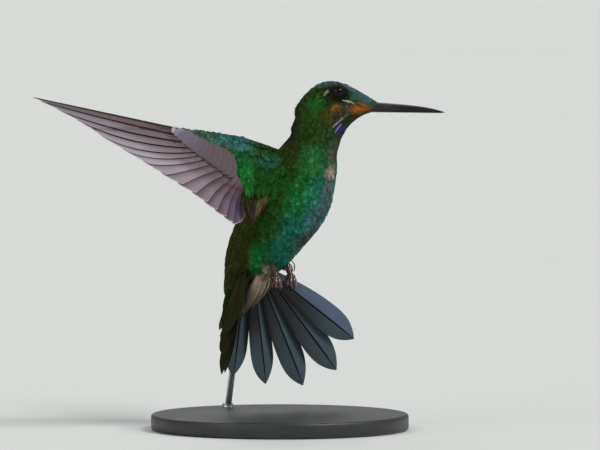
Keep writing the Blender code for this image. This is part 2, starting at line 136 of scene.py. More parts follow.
# Regions of the skin, each with a coat of its own; the first five are FLESH in its order.
BREAST, NECK, HEAD, WING_LEFT, WING_RIGHT, FACE, VENT, BACK = range(8)
BILL_ROOT = (21.0, 100.5)      # along the head, and its height
FACE_REACH = 10.5              # of the face's small feathers, from the bill's root
VENT_TOP = 50.0                # height below which the coat is loose


# ---- places in the bird ------------------------------------------------------

def head_point(reach, height, aside=0.0):
    """A place given along the turned head."""
    angle = math.radians(HEAD_TURN)
    forward = Vector((math.cos(angle), math.sin(angle), 0.0))
    left = Vector((-math.sin(angle), math.cos(angle), 0.0))
    return Vector((NECK_PIVOT, 0.0, height)) + forward * reach + left * aside


def head_way(ahead=0.0, aside=0.0):
    """A direction given along the turned head."""
    return head_point(ahead, 0.0, aside) - head_point(0.0, 0.0)


def eye_way(side):
    """The way an eye looks: out to its own side, a little forwards and up."""
    way = head_way(0.0, side) * 0.97 + head_way(1.0) * 0.16 + Vector((0.0, 0.0, 0.12))
    return way.normalized()


def belly_side(x, z):
    """How far a place lies from the body's middle line, towards the belly."""
    return (x + 1.9) * 0.835 - (z - 63.6) * 0.55


def wing_axes(side):
    """Outwards along a wing, and towards its underside."""
    angle = math.radians(WING_BACK)
    along = Vector((-math.cos(angle), side * math.sin(angle), 0.0))
    under = Vector((math.sin(angle), side * math.cos(angle), 0.0))
    return along, under


def wing_point(out, height, side, lift=0.0):
    """A place in a wing's plane; lift is towards the wing's underside."""
    along, under = wing_axes(side)
    return Vector((SHOULDER[0], side * SHOULDER[1], height)) + along * out + under * lift


def wing_places(points):
    """Distance out, height and lift of many points, in the wing on each one's own side."""
    angle = math.radians(WING_BACK)
    x = points[:, 0] - SHOULDER[0]
    y = np.abs(points[:, 1]) - SHOULDER[1]
    out = -math.cos(angle) * x + math.sin(angle) * y
    lift = math.sin(angle) * x + math.cos(angle) * y
    return out, points[:, 2], lift


def arm_outline(out):
    """Heights of the arm's upper and lower edge."""
    return along_line(ARM_TOP, out), along_line(ARM_BOTTOM, out)


def arm_thickness(out):
    """The arm's greatest thickness at a distance out along the wing."""
    left = 1.0 - np.clip(out / ARM_LENGTH, 0.0, 1.0)
    return ARM_THIN + (ARM_THICK - ARM_THIN) * left ** 1.5


def arm_half_thickness(out, height):
    """Half the arm's thickness at a place in the wing's plane."""
    out = np.clip(out, 0.0, ARM_LENGTH)
    thick = arm_thickness(out)
    top, bottom = arm_outline(out)
    share = np.clip((height - (top + bottom) * 0.5) / ((top - bottom) * 0.5), -1.0, 1.0)
    return thick * 0.5 * np.sqrt(1.0 - share * share)


def along_line(line, place):
    """Heights of a line of (distance, height) pairs, read at one or many distances."""
    return np.interp(place, [p[0] for p in line], [p[1] for p in line])


def spline(values, place):
    """A smooth curve through equally spaced values, read at a fractional index."""
    last = len(values) - 1
    index = min(max(int(place), 0), last - 1)
    part = place - index
    before, start = values[max(index - 1, 0)], values[index]
    end, after = values[index + 1], values[min(index + 2, last)]
    rise = part * part * (3.0 - 2.0 * part)
    lead = part * (1.0 - part) ** 2
    trail = part * part * (part - 1.0)
    between = start * (1.0 - rise) + end * rise
    return between + (end - before) * 0.5 * lead + (after - start) * 0.5 * trail


def spine_line():
    """The middle of the body from the tail to the bill, which the lie of the coat follows."""
    trunk = ((-19.0, 29.0), (-16.5, 40.0), (-12.6, 48.6), (-6.6, 57.0), (-1.9, 63.6),
             (2.3, 69.2), (5.6, 74.6), (8.0, 79.2), (10.8, 84.2), (13.0, 90.0))
    head = ((1.0, 95.5), (2.5, 99.5), (6.5, 102.2), (12.0, 102.0), (21.0, 100.4))
    knots = [Vector((x, 0.0, z)) for x, z in trunk] + [head_point(*place) for place in head]
    steps = 8 * (len(knots) - 1)
    return np.array([spline(knots, step / 8.0) for step in range(steps + 1)])


def smooth_step(value, low, high):
    """0 below low, 1 above high, and a smooth rise between them."""
    part = np.clip((value - low) / (high - low), 0.0, 1.0)
    return part * part * (3.0 - 2.0 * part)


def unit(vectors):
    """The vectors at length 1."""
    return vectors / np.maximum(np.linalg.norm(vectors, axis=-1, keepdims=True), 1e-9)


def along_spine(points):
    """How far along the spine each point is (0 tail, 1 bill), and the spine's way there."""
    line = spine_line()
    ways = unit(np.gradient(line, axis=0))
    gaps = ((points[:, None, :] - line[None]) ** 2).sum(-1)
    nearness = np.exp(-(gaps - gaps.min(1, keepdims=True)) / 14.0)
    nearness /= nearness.sum(1, keepdims=True)
    return nearness @ np.linspace(0.0, 1.0, len(line)), unit(nearness @ ways), nearness @ line


# ---- node trees in plain arithmetic -------------------------------------------

class Value:
    """A node's output that takes part in arithmetic; every step adds one Math node."""

    def __init__(self, tree, socket):
        self.tree = tree
        self.socket = socket

    def other(self, name):
        """Another output of the same node."""
        return Value(self.tree, self.socket.node.outputs[name])

    def maths(self, operation, *terms):
        """One Math node."""
        return self.tree.add("ShaderNodeMath", {"operation": operation}, dict(enumerate(terms)))

    def __add__(self, other):
        return self.maths("ADD", self, other)

    def __sub__(self, other):
        return self.maths("SUBTRACT", self, other)

    def __rsub__(self, other):
        return self.maths("SUBTRACT", other, self)

    def __mul__(self, other):
        return self.maths("MULTIPLY", self, other)

    def __rtruediv__(self, other):
        return self.maths("DIVIDE", other, self)

    def __abs__(self):
        return self.maths("ABSOLUTE", self)

    __radd__ = __add__
    __rmul__ = __mul__


class Tree:
    """Adds nodes to a shader or geometry tree and links them."""

    def __init__(self, nodes):
        self.nodes = nodes

    def add(self, kind, settings=None, sockets=None, out=0):
        """A node of one type: its settings first, then values or links of its sockets."""
        node = self.nodes.nodes.new(kind)
        for name, value in (settings or {}).items():
            if name == "stops":
                set_stops(node.color_ramp, value)
            else:
                setattr(node, name, value)
        for name, value in (sockets or {}).items():
            if isinstance(value, Value):
                self.nodes.links.new(value.socket, node.inputs[name])
            else:
                node.inputs[name].default_value = value
        return Value(self, node.outputs[out]) if len(node.outputs) else node

    def vector(self, operation, *terms, out=0):
        """One step of vector arithmetic."""
        return self.add("ShaderNodeVectorMath", {"operation": operation}, dict(enumerate(terms)), out)

    def split(self, vector):
        """A vector's three parts."""
        parts = self.add("ShaderNodeSeparateXYZ", None, {0: vector})
        return parts, parts.other("Y"), parts.other("Z")

    def join(self, x, y, z):
        """A vector of three parts."""
        return self.add("ShaderNodeCombineXYZ", None, {0: x, 1: y, 2: z})

    def rise(self, value, low, high, start=0.0, end=1.0):
        """A smooth rise from start at low to end at high."""
        return self.add("ShaderNodeMapRange", {"interpolation_type": "SMOOTHSTEP"},
                        {0: value, 1: low, 2: high, 3: start, 4: end})

    def mix(self, share, first, second, blend="MIX"):
        """Two colours mixed."""
        return self.add("ShaderNodeMix", {"data_type": "RGBA", "blend_type": blend},
                        {0: share, 6: first, 7: second}, out=2)

    def noise(self, place, scale, detail=2.0, out=0):
        """Soft random mottling; scale is in repeats to a metre."""
        return self.add("ShaderNodeTexNoise", None,
                        {"Vector": place, "Scale": scale, "Detail": detail}, out)

    def attribute(self, name, out="Fac"):
        """A named attribute of the mesh, read in a material."""
        return self.add("ShaderNodeAttribute", {"attribute_name": name}, None, out)

    def places(self):
        """How far across and along its own feather, jaw or toe each point is."""
        across, along, _ = self.split(self.attribute("across", "Vector"))
        return across, along

    def scaled(self, vector, factor):
        """A vector made longer or shorter."""
        return self.add("ShaderNodeVectorMath", {"operation": "SCALE"}, {0: vector, "Scale": factor})

    def wave(self, value):
        """A wave between -1 and 1, as fine barbs make."""
        return value.maths("SINE", value)

    def larger(self, first, second):
        """The larger of two values."""
        return first.maths("MAXIMUM", first, second)

    def shaded(self, colour, light):
        """A colour made lighter or darker."""
        return self.mix(1.0, colour, light, "MULTIPLY")

    def bump(self, strength, distance, height):
        """A surface roughened by small heights; distance is in millimetres."""
        return self.add("ShaderNodeBump", None,
                        {"Strength": strength, "Distance": distance * MM, "Height": height})

    def barbs(self, across, along, off, tone, waves, clumps):
        """The fine barbs of a vane, and the clumps that they part into."""
        barbs = self.wave(along * waves[0] - off * waves[1])
        spot = self.join(along * clumps[0] - off * clumps[1], across * clumps[2], tone * 90.0)
        return barbs, self.noise(spot, 1.0, 3.0)

    def wash(self, across, along, tone):
        """Soft differences within a vane, and from one feather to the next."""
        return self.noise(self.join(along, across, tone * 50.0), 1.0, 2.0)


def set_stops(ramp, stops):
    """Give a colour ramp its stops, each a place and a colour."""
    while len(ramp.elements) < len(stops):
        ramp.elements.new(0.5)
    for element, (place, colour) in zip(ramp.elements, stops):
        element.position = place
        element.color = colour


def tint(text):
    """A colour given as six hexadecimal digits, as light values."""
    shares = [int(text[i:i + 2], 16) / 255.0 for i in (0, 2, 4)]
    return tuple(s / 12.92 if s <= 0.04045 else ((s + 0.055) / 1.055) ** 2.4 for s in shares) + (1.0,)


def new_material(name, finish, **constants):
    """A material whose maker is given its tree and the sockets that vary."""
    material = bpy.data.materials.new(name)
    material.use_nodes = True
    tree = Tree(material.node_tree)
    shader = material.node_tree.nodes["Principled BSDF"]
    for socket, value in constants.items():
        shader.inputs[socket.replace("_", " ")].default_value = value
    for socket, value in finish(tree).items():
        if isinstance(value, Value):
            material.node_tree.links.new(value.socket, shader.inputs[socket])
        else:
            shader.inputs[socket].default_value = value
    return material


def here(tree):
    """Object coordinates."""
    return tree.add("ShaderNodeTexCoord", None, None, "Object")


# ---- settings ------------------------------------------------------------------

def colour_setting(name, description, default):
    """A colour to choose, given as six hexadecimal digits."""
    return FloatVectorProperty(name=name, description=description, default=tint(default)[:3],
                               subtype="COLOR", size=3, min=0.0, max=1.0)


class PlumageSettings(bpy.types.PropertyGroup):
    """Colours and sizes of the small feathers."""
    emerald: colour_setting("Emerald", "Flanks and cheeks", "125f2a")
    # Teal is the breast's own colour, and also the colour of the painted glitter on bright feather
    # tips.
    teal: colour_setting("Teal", "Glitter over the breast", "1f6f66")
    bronze: colour_setting("Bronze", "Back and rump", "303716")
    length: FloatProperty(name="Length", description="Share of the usual feather length",
                          default=1.0, min=0.5, max=1.5)
    seed: IntProperty(name="Seed", description="Of every random choice in the coat", default=7)


class QuillSettings(bpy.types.PropertyGroup):
    """Wing and tail feathers."""
    vane: colour_setting("Vane", "Underside of the flight feathers", "ada3ab")
    tail: colour_setting("Tail", "Underside of the tail", "4b5a62")
    shaft: colour_setting("Shaft", "Shafts of wing and tail", "2b211c")
    thickness: FloatProperty(name="Thickness", description="Of a vane at its middle",
                             default=0.16 * MM, min=0.05 * MM, max=0.5 * MM, unit="LENGTH")


class StandSettings(bpy.types.PropertyGroup):
    """The display stand."""
    base: colour_setting("Base", "Paint of the base", "2a2b2c")
    edge: FloatProperty(name="Edge", description="Rounding of the base's rim",
                        default=1.0 * MM, min=0.2 * MM, max=2.0 * MM, unit="LENGTH")


class StageSettings(bpy.types.PropertyGroup):
    """Floor, light and camera."""
    floor: colour_setting("Floor", "Pale floor", "dfe1dc")
    light: FloatProperty(name="Light", description="Strength of the main light", default=1.9, min=0.0)
    distance: FloatProperty(name="Camera distance", description="From the bird's middle",
                            default=2.5, min=0.5, unit="LENGTH")


def chosen(name):
    """One of the scene's groups of settings."""
    return getattr(bpy.context.scene, "bird_" + name)


def chosen_colour(group, name):
    """A chosen colour, as nodes take it."""
    return tuple(getattr(chosen(group), name)) + (1.0,)


# ---- mesh helpers ----------------------------------------------------------------

def link(name, data, *materials):
    """A new object of a mesh, lamp or camera."""
    thing = bpy.data.objects.new(name, data)
    bpy.context.scene.collection.objects.link(thing)
    for material in materials:
        data.materials.append(material)
    return thing


def applied(thing, name):
    """The object with its modifiers worked into a plain mesh."""
    bpy.context.view_layer.update()
    view = bpy.context.evaluated_depsgraph_get()
    mesh = bpy.data.meshes.new_from_object(thing.evaluated_get(view), depsgraph=view)
    mesh.name = name
    done = link(name, mesh)
    bpy.data.objects.remove(thing)
    return done


def coordinates(mesh, data="vertices", field="co", width=3):
    """One field of a mesh as an array."""
    values = np.zeros(len(getattr(mesh, data)) * width)
    getattr(mesh, data).foreach_get(field, values)
    return values.reshape(-1, width) if width > 1 else values


def set_attribute(mesh, name, kind, values, domain="POINT"):
    """Give a mesh a named attribute."""
    layer = mesh.attributes.new(name, kind, domain)
    field = "vector" if kind in ("FLOAT_VECTOR", "FLOAT2") else "value"
    layer.data.foreach_set(field, np.ascontiguousarray(values).ravel())


def read_attribute(mesh, name, width):
    """One of a mesh's named vector attributes as an array."""
    values = np.zeros(len(mesh.vertices) * width)
    mesh.attributes[name].data.foreach_get("vector", values)
    return values.reshape(-1, width)


def set_bake_map(mesh, places):
    """The bake map, from a place on it for each point."""
    loops = coordinates(mesh, "loops", "vertex_index", 1).astype(int)
    mesh.uv_layers.new(name="OFBake").data.foreach_set("uv", places[loops].ravel())


def round_angles(sides):
    """Evenly spaced angles once round."""
    return np.linspace(0.0, FULL_TURN, sides, endpoint=False)


def lattice(across, along):
    """A grid of pairs: every place across at every place along."""
    return np.stack(np.meshgrid(across, along), -1)


def smooth_faces(mesh):
    """Shade a mesh as rounded, but for its crisp edges."""
    mesh.polygons.foreach_set("use_smooth", np.ones(len(mesh.polygons), bool))


def sharpen(mesh, pairs):
    """Keep the edges between these pairs of points crisp."""
    if not pairs:
        return
    wanted = {tuple(sorted(pair)) for pair in pairs}
    keys = [tuple(sorted(edge.vertices)) in wanted for edge in mesh.edges]
    set_attribute(mesh, "sharp_edge", "BOOLEAN", np.array(keys), "EDGE")


def finish_piece(thing, slot, *nodes):
    """A finished piece rides on the model and stands for its CAD nodes."""
    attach(thing, "root")
    if nodes:
        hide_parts(*nodes)


class Sheaf:
    """Gathers closed strips, tubes and vanes into one mesh, with what their finish needs."""

    def __init__(self):
        self.verts, self.faces, self.across, self.tone, self.under = [], [], [], [], []
        self.rims = []

    def add_grid(self, grid, across, tone, under, closed=False, flip=False):
        """A grid of points as a sheet of faces; closed joins its last column to its first."""
        rows, columns = grid.shape[:2]
        start = sum(len(v) for v in self.verts)
        self.verts.append(grid.reshape(-1, 3))
        self.across.append(across.reshape(-1, 2))
        self.tone.append(np.full(rows * columns, tone))
        self.under.append(np.full(rows * columns, under))
        for row in range(rows - 1):
            for column in range(columns if closed else columns - 1):
                right = (column + 1) % columns
                a, b = start + row * columns + column, start + row * columns + right
                face = (a, b, b + columns, a + columns)
                self.faces.append(face[::-1] if flip else face)
        return start

    def add_caps(self, start, rows, sides, flip=False):
        """Close both ends of a closed grid."""
        first = tuple(range(start, start + sides))
        last = tuple(range(start + (rows - 1) * sides, start + rows * sides))
        self.faces += (first, last[::-1]) if flip else (first[::-1], last)

    def add_vane(self, middle, thickness, across, tone, below):
        """A thin closed blade about a grid of points; below is the way its underside faces."""
        rows, columns = middle.shape[:2]
        normal = unit(np.cross(np.gradient(middle, axis=1), np.gradient(middle, axis=0)))
        if (normal @ np.array(below)).sum() < 0.0:
            middle, across, normal = middle[:, ::-1], across[:, ::-1], -normal[:, ::-1]
        edge = np.ones((rows, columns, 1))
        edge[:, (0, -1)] = 0.35
        edge[-1] = 0.35
        half = normal * edge * thickness * 0.5
        top = self.add_grid(middle + half, across, tone, 1.0)
        bottom = self.add_grid(middle - half, across, tone, 0.0, flip=True)
        rim = [(0, c) for c in range(columns)] + [(r, columns - 1) for r in range(1, rows)]
        rim += [(rows - 1, c) for c in range(columns - 2, -1, -1)]
        rim += [(r, 0) for r in range(rows - 2, 0, -1)]
        places = [r * columns + c for r, c in rim]
        for a, b in zip(places, places[1:] + places[:1]):
            self.faces.append((top + b, top + a, bottom + a, bottom + b))
            self.rims += [(top + a, top + b), (bottom + a, bottom + b)]

    def add_tube(self, points, radii, sides):
        """A closed round bar through points, with a radius at each."""
        points = np.array([tuple(p) for p in points], float)
        ways = unit(np.gradient(points, axis=0))
        side = unit(np.cross(ways, (0.31, 0.87, 0.38)))
        rise = np.cross(side, ways)
        angles = round_angles(sides)
        turn = side[:, None] * np.cos(angles)[None, :, None]
        turn = turn + rise[:, None] * np.sin(angles)[None, :, None]
        rings = points[:, None] + turn * np.asarray(radii)[:, None, None]
        across = lattice(angles / FULL_TURN, np.linspace(0.0, 1.0, len(points)))
        start = self.add_grid(rings, across, 0.5, 0.0, closed=True)
        self.add_caps(start, len(points), sides)

    def build(self, name, *materials):
        """The finished mesh object."""
        mesh = bpy.data.meshes.new(name)
        verts = np.concatenate(self.verts) * MM
        mesh.from_pydata(verts.tolist(), [], self.faces)
        across = np.concatenate(self.across)
        set_attribute(mesh, "across", "FLOAT2", across)
        set_attribute(mesh, "tone", "FLOAT", np.concatenate(self.tone))
        set_attribute(mesh, "under", "FLOAT", np.concatenate(self.under))
        self.lay_out(mesh, across)
        smooth_faces(mesh)
        sharpen(mesh, self.rims)
        return link(name, mesh, *materials)

    def lay_out(self, mesh, across):
        """Each vane gets a strip of the bake map, its two sides next to each other."""
        part = np.concatenate([np.full(len(v), i) for i, v in enumerate(self.verts)])
        strips = len(self.verts)
        columns = math.ceil(math.sqrt(strips * 4))
        rows = math.ceil(strips / columns)
        cell = np.stack((part % columns, part // columns), -1) + 0.06 + 0.88 * across
        set_bake_map(mesh, cell / (columns, rows))


# ---- plumage markings ----------------------------------------------------------------

DEEP_GREEN, OLIVE = tint("123c1a"), tint("20260f")

# Each marking is an oval patch, laid on in this order: what it is measured from, its
# middle and half sizes in mm, how softly it ends, its turn in degrees, colour and gloss.
# "body" places are forward, aside, up; "head" ones run along the turned head.
MARKS = (
    ("body", (4.0, 11.5, 68.0), (4.5, 4.0, 9.0), 0.5, 0, "194519", 0.45),
    ("body", (3.0, 13.0, 80.0), (9.0, 8.0, 10.0), 0.4, 0, "17461b", 0.5),
    ("body", (-9.0, 8.0, 50.0), (4.4, 5.0, 10.5), 0.3, 0, "2b2d15", 0.15),
    ("body", (-2.0, 8.0, 53.0), (2.8, 4.0, 5.2), 0.4, 0, "146a35", 0.8),
    ("body", (13.5, 7.0, 72.0), (4.0, 5.0, 6.0), 0.6, 0, "16682f", 0.8),
    ("body", (16.5, 2.5, 71.0), (3.2, 5.5, 4.8), 0.6, 0, "23705a", 0.85),
    ("body", (15.5, 2.0, 66.5), (3.0, 4.5, 4.5), 0.6, 0, "3c6c74", 0.8),
    ("body", (7.0, 5.5, 58.0), (4.0, 4.0, 4.5), 0.6, 0, "1f7058", 0.8),
    ("body", (11.5, 0.0, 58.5), (5.0, 3.4, 7.0), 0.5, 0, "43504c", 0.4),
    ("body", (17.2, 0.0, 69.0), (4.0, 3.4, 7.5), 0.5, 0, "435a60", 0.4),
    ("body", (17.0, 6.4, 85.2), (4.0, 4.0, 4.6), 0.7, 0, "286a3c", 0.6),
    ("body", (4.8, 12.4, 84.8), (2.6, 3.4, 1.5), 0.7, 0, "1a5340", 0.6),
    ("body", (21.2, 0.0, 86.4), (2.2, 3.6, 3.8), 0.6, 0, "4e524a", 0.3),
    ("body", (20.2, 0.0, 81.2), (1.9, 2.7, 2.1), 0.5, 0, "a48c84", 0.05),
    ("body", (19.2, 0.0, 77.4), (1.7, 1.8, 2.2), 0.6, 0, "6a6866", 0.1),
    ("body", (-2.6, 4.0, 50.4), (3.2, 3.2, 2.6), 0.4, 0, "b8a894", 0.0),
    ("body", (-5.5, 0.0, 46.5), (4.0, 5.5, 3.6), 0.4, 0, "a89480", 0.0),
    ("body", (-8.0, 0.0, 42.0), (5.0, 5.5, 6.5), 0.4, 0, "a08c78", 0.0),
    ("body", (-3.9, 7.0, 50.2), (2.0, 3.4, 3.6), 0.35, 0, "1f7238", 0.6),
    ("body", (-6.9, 4.6, 47.2), (1.4, 2.2, 2.6), 0.4, 0, "34603a", 0.4),
    ("body", (-12.5, 0.0, 33.0), (3.2, 5.0, 7.0), 0.4, 0, "7f6a56", 0.0),
    ("body", (-20.0, 0.0, 34.0), (4.6, 7.0, 10.0), 0.4, 0, "333219", 0.1),
    ("head", (-6.0, 0.0, 96.0), (3.0, 6.0, 8.0), 0.5, 0, "26261d", 0.3),
    ("head", (9.5, 0.0, 91.0), (2.8, 3.2, 5.5), 0.6, 0, "3e4038", 0.3),
    # Bluish slate on the top of the crown: partly its own colour, partly painted sheen of the sky.
    ("head", (5.5, 0.0, 108.8), (10.0, 6.0, 2.4), 0.4, 0, "40585a", 0.35),
    ("head", (16.4, 4.0, 103.0), (5.0, 3.4, 1.4), 0.5, -26, "335f58", 0.45),
    # Slate blue from the forehead back over the crown: partly its own colour, partly painted sheen.
    ("head", (14.6, 0.0, 105.9), (8.5, 4.0, 1.8), 0.45, -26, "596f84", 0.3),
    ("head", (0.9, 6.8, 101.4), (2.8, 3.0, 3.2), 0.6, 0, "1a581a", 0.55),
    ("head", (5.5, 6.6, 97.0), (3.0, 3.0, 1.6), 0.6, 0, "3f4518", 0.4),
    # Near-black round the eye: partly the brow's own dark feathers, partly painted shade.
    ("head", (8.2, 6.5, 104.8), (3.9, 3.6, 3.0), 0.5, 0, "171610", 0.1),
    ("head", (5.4, 7.0, 99.1), (1.7, 3.0, 1.3), 0.6, 0, "50481e", 0.1),
    ("head", (8.3, 7.0, 100.4), (1.9, 3.2, 1.3), 0.6, -14, "86562a", 0.0),
    ("head", (8.0, 6.4, 97.8), (2.8, 3.0, 1.6), 0.8, 40, "46382a", 0.1),
    ("head", (11.4, 6.2, 99.9), (0.9, 3.0, 1.9), 0.5, 20, "544a44", 0.2),
    ("head", (15.3, 4.2, 99.8), (3.5, 3.2, 1.9), 0.45, -12, "a2602a", 0.0),
    ("head", (13.9, 4.2, 101.4), (2.2, 3.2, 0.5), 0.6, -24, "5c3f22", 0.0),
    ("head", (17.9, 3.0, 98.8), (3.2, 3.2, 0.9), 0.5, 0, "5e3c1e", 0.0),
    ("head", (14.6, 3.2, 97.7), (3.2, 3.2, 0.9), 0.5, 8, "4a3a1c", 0.1),
    ("head", (10.5, 6.0, 102.6), (0.6, 2.0, 0.2), 0.5, 20, "5e6a68", 0.0),
    ("head", (12.1, 5.4, 102.2), (0.8, 2.0, 0.22), 0.4, -24, "76827e", 0.0),
    ("head", (4.4, 6.0, 105.5), (0.85, 2.2, 0.45), 0.5, 35, "6c6450", 0.0),
    ("head", (8.7, 4.6, 94.1), (1.35, 3.0, 1.8), 0.4, 0, "38307c", 0.6),
    ("head", (8.9, 5.8, 97.1), (3.1, 2.6, 0.22), 0.5, 43, "8c8488", 0.0),
    ("head", (8.6, 5.8, 95.2), (1.3, 2.6, 0.14), 0.5, 50, "6e68a0", 0.0),
)


def turned(tree, place, degrees):
    """The place turned by an angle in its upright plane."""
    angle = math.radians(degrees)
    along = tree.vector("DOT_PRODUCT", place, (math.cos(angle), 0.0, math.sin(angle)), out=1)
    rise = tree.vector("DOT_PRODUCT", place, (-math.sin(angle), 0.0, math.cos(angle)), out=1)
    return tree.join(along, tree.split(place)[1], rise)


def patch(tree, place, middle, half, soft, degrees=0):
    """1 inside an oval patch, 0 outside."""
    offset = tree.vector("SUBTRACT", place, middle)
    if degrees:
        offset = turned(tree, offset, degrees)
    reach = tree.vector("LENGTH", tree.vector("DIVIDE", offset, half), out=1)
    return tree.rise(reach, 1.0 - soft, 1.0 + soft, 1.0, 0.0)


def wing_marks(tree, place, colour, gloss):
    """Colours of the wing's small coverts, laid over those of the body."""
    along, under = wing_axes(1.0)
    offset = tree.vector("SUBTRACT", place, (SHOULDER[0], SHOULDER[1], 0.0))
    out = tree.vector("DOT_PRODUCT", offset, tuple(along), out=1)
    lift = tree.vector("DOT_PRODUCT", offset, tuple(under), out=1)
    spot = tree.join(out, 0.0, tree.split(place)[2])
    wing = tree.rise(out, 6.0, 9.0) * tree.rise(tree.split(place)[2], 70.0, 73.0)
    below = tree.rise(lift, -0.6, 0.4)
    patches = (
        ((20.0, 0.0, 86.0), (14.0, 1.0, 12.0), 0.3, 0, "185230", 0.55, 1.0),
        ((12.2, 0.0, 78.5), (4.2, 1.0, 6.8), 0.35, 12, "15702e", 0.62, below),
        ((17.0, 0.0, 91.5), (9.0, 1.0, 2.4), 0.5, 10, "2f6466", 0.55, 1.0),
        ((25.0, 0.0, 91.0), (6.5, 1.0, 3.4), 0.4, 14, "3c6658", 0.6, 1.0),
        ((17.5, 0.0, 87.5), (2.0, 1.0, 2.4), 0.6, 0, "4f5c3a", 0.3, below),
        ((32.0, 0.0, 93.5), (4.5, 1.0, 2.4), 0.5, 14, "6e7472", 0.2, 1.0),
        ((5.0, 0.0, 75.2), (3.6, 1.0, 2.2), 0.6, 8, "1e3818", 0.3, below),
    )
    for middle, half, soft, degrees, shade, shine, share in patches:
        mask = patch(tree, spot, middle, half, soft, degrees) * wing * share
        colour = tree.mix(mask, colour, tint(shade))
        gloss = gloss + (shine - gloss) * mask
    return colour, gloss


def plumage(tree, place):
    """Colour and gloss of the plumage at a place in metres, alike for skin and feathers."""
    place = tree.scaled(place, 1.0 / MM)
    stir = tree.noise(place, 0.55, 2.0, "Color")
    stir = tree.vector("MULTIPLY_ADD", stir, (1.6, 1.6, 1.6), (-0.8, -0.8, -0.8))
    place = tree.vector("ADD", place, stir)
    x, y, z = tree.split(place)
    body = tree.join(x, abs(y), z)
    forward = head_way(1.0)
    left = head_way(0.0, 1.0)
    offset = tree.vector("SUBTRACT", place, (NECK_PIVOT, 0.0, 0.0))
    reach = tree.vector("DOT_PRODUCT", offset, tuple(forward), out=1)
    aside = abs(tree.vector("DOT_PRODUCT", offset, tuple(left), out=1))
    head = tree.join(reach, aside, z)
    emerald = chosen_colour("plumage", "emerald")
    bronze = chosen_colour("plumage", "bronze")
    teal = chosen_colour("plumage", "teal")
    front = belly_side(x, z)
    lower = tree.rise(front, -3.0, 13.0)
    trunk = tree.add("ShaderNodeValToRGB", {"stops": (
        (0.0, bronze), (0.12, OLIVE), (0.3, DEEP_GREEN), (0.62, emerald), (0.9, teal))}, {0: lower})
    trunk_gloss = tree.rise(front, -2.0, 7.0, 0.35, 0.75)
    over = tree.rise(z, 86.0, 93.0)
    colour = tree.mix(over, trunk, tint("264018"))
    gloss = trunk_gloss * (1.0 - over) + over * 0.5
    mottle = tree.noise(place, 0.42, 3.0)
    colour = tree.mix(tree.rise(mottle, 0.5, 0.72, 0.0, 0.45), colour, OLIVE)
    for base, middle, half, soft, degrees, shade, shine in MARKS:
        mask = patch(tree, head if base == "head" else body, middle, half, soft, degrees)
        colour = tree.mix(mask, colour, tint(shade))
        gloss = gloss + (shine - gloss) * mask
    colour, gloss = wing_marks(tree, body, colour, gloss)
    patchy = tree.noise(place, 0.75, 4.0)
    colour = tree.shaded(colour, tree.rise(patchy, 0.25, 0.75, 0.68, 1.3))
    return tree.mix(1.0, colour, (0.009, 0.0115, 0.0035, 1.0), "ADD"), gloss


def skin_finish(tree):
    """Skin seen between feathers: the markings, darkened, over fine down."""
    colour, gloss = plumage(tree, here(tree))
    down = tree.noise(here(tree), 1500.0, 3.0)
    shade = tree.shaded(colour, tree.rise(down, 0.3, 0.7, 0.55, 0.85))
    bump = tree.bump(0.5, 0.2, down)
    return {"Base Color": shade, "Metallic": gloss * 0.3, "Normal": bump}


def coat_finish(tree):
    """A small feather: dull at its root, glossy towards the tip, with a dark fringe; a few glossy tips
    are painted brighter and teal as glitter.
    """
    place = tree.scaled(tree.vector("ADD", tree.attribute("root", "Vector"), here(tree)), 0.5)
    colour, gloss = plumage(tree, place)
    across, along = tree.places()
    tone = tree.attribute("tone")
    off = abs(across - 0.5) * 2.0
    tip = tree.rise(along, 0.25, 0.7)
    fringe = tree.rise(along, 0.86, 1.0) * 0.3 + tree.rise(off, 0.7, 1.0) * 0.3
    barbs = tree.wave(along * 95.0 - off * 16.0)
    scaly = tree.rise(tree.split(place)[2], 0.1, 0.105, 0.55, 1.0)
    light = (0.62 + tip * 0.4) * (1.0 - scaly * 0.5 + tone * scaly) * (1.0 - fringe) + barbs * 0.02
    # A few glossy feather tips made brighter and teal: painted glitter in place of glints off the
    # iridescent plumage.
    painted_glitter = tree.rise(tone, 0.78, 1.0) * tree.rise(gloss, 0.6, 0.8) * tip
    colour = tree.mix(painted_glitter * 0.4, colour, chosen_colour("plumage", "teal"))
    colour = tree.shaded(colour, light * (1.0 + painted_glitter * 0.35))
    bump = tree.bump(0.25, 0.05, barbs)
    return {
        "Base Color": colour,
        "Metallic": gloss * tip * 0.7,
        "Roughness": tree.rise(gloss, 0.0, 0.8, 0.75, 0.45),
        "Normal": bump,
    }


# ---- skin ----------------------------------------------------------------------------

def swollen_flesh():
    """The flesh parts together, each swollen a little so that the cuts between them close."""
    bm = bmesh.new()
    for name in FLESH:
        part = bmesh.new()
        part.from_mesh(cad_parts[name].data)
        bmesh.ops.remove_doubles(part, verts=part.verts, dist=1e-6)
        part.normal_update()
        for vert in part.verts:
            vert.co += vert.normal * SWELL * MM
        mesh = bpy.data.meshes.new(name + "_copy")
        part.to_mesh(mesh)
        part.free()
        bm.from_mesh(mesh)
        bpy.data.meshes.remove(mesh)
    flesh = bpy.data.meshes.new("skin")
    bm.to_mesh(flesh)
    bm.free()
    return link("skin_rough", flesh)


def nearest_part(points):
    """The flesh part that lies nearest to each point, and how near the body and the arms are."""
    gaps = []
    for name in FLESH:
        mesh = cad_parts[name].data
        places = [v.co[:] for v in mesh.vertices]
        tree = BVHTree.FromPolygons(places, [p.vertices[:] for p in mesh.polygons])
        gaps.append([tree.find_nearest(p)[3] for p in (points * MM).tolist()])
    gaps = np.array(gaps) / MM
    return gaps.argmin(0), gaps[:ARM_PART].min(0), gaps[ARM_PART:].min(0)


LEAN_OUT = 0.12                # of the feathers away from the spine
# Degrees that the arm's feathers dip below straight out: at the shoulder, how much less at
# the outer end, and how much more at the lower edge.
ARM_DIP = (58.0, 42.0, 22.0)
PARTING, PARTING_START, PARTING_REACH = 1.6, 1.6, 2.2   # of the feathers round the eye


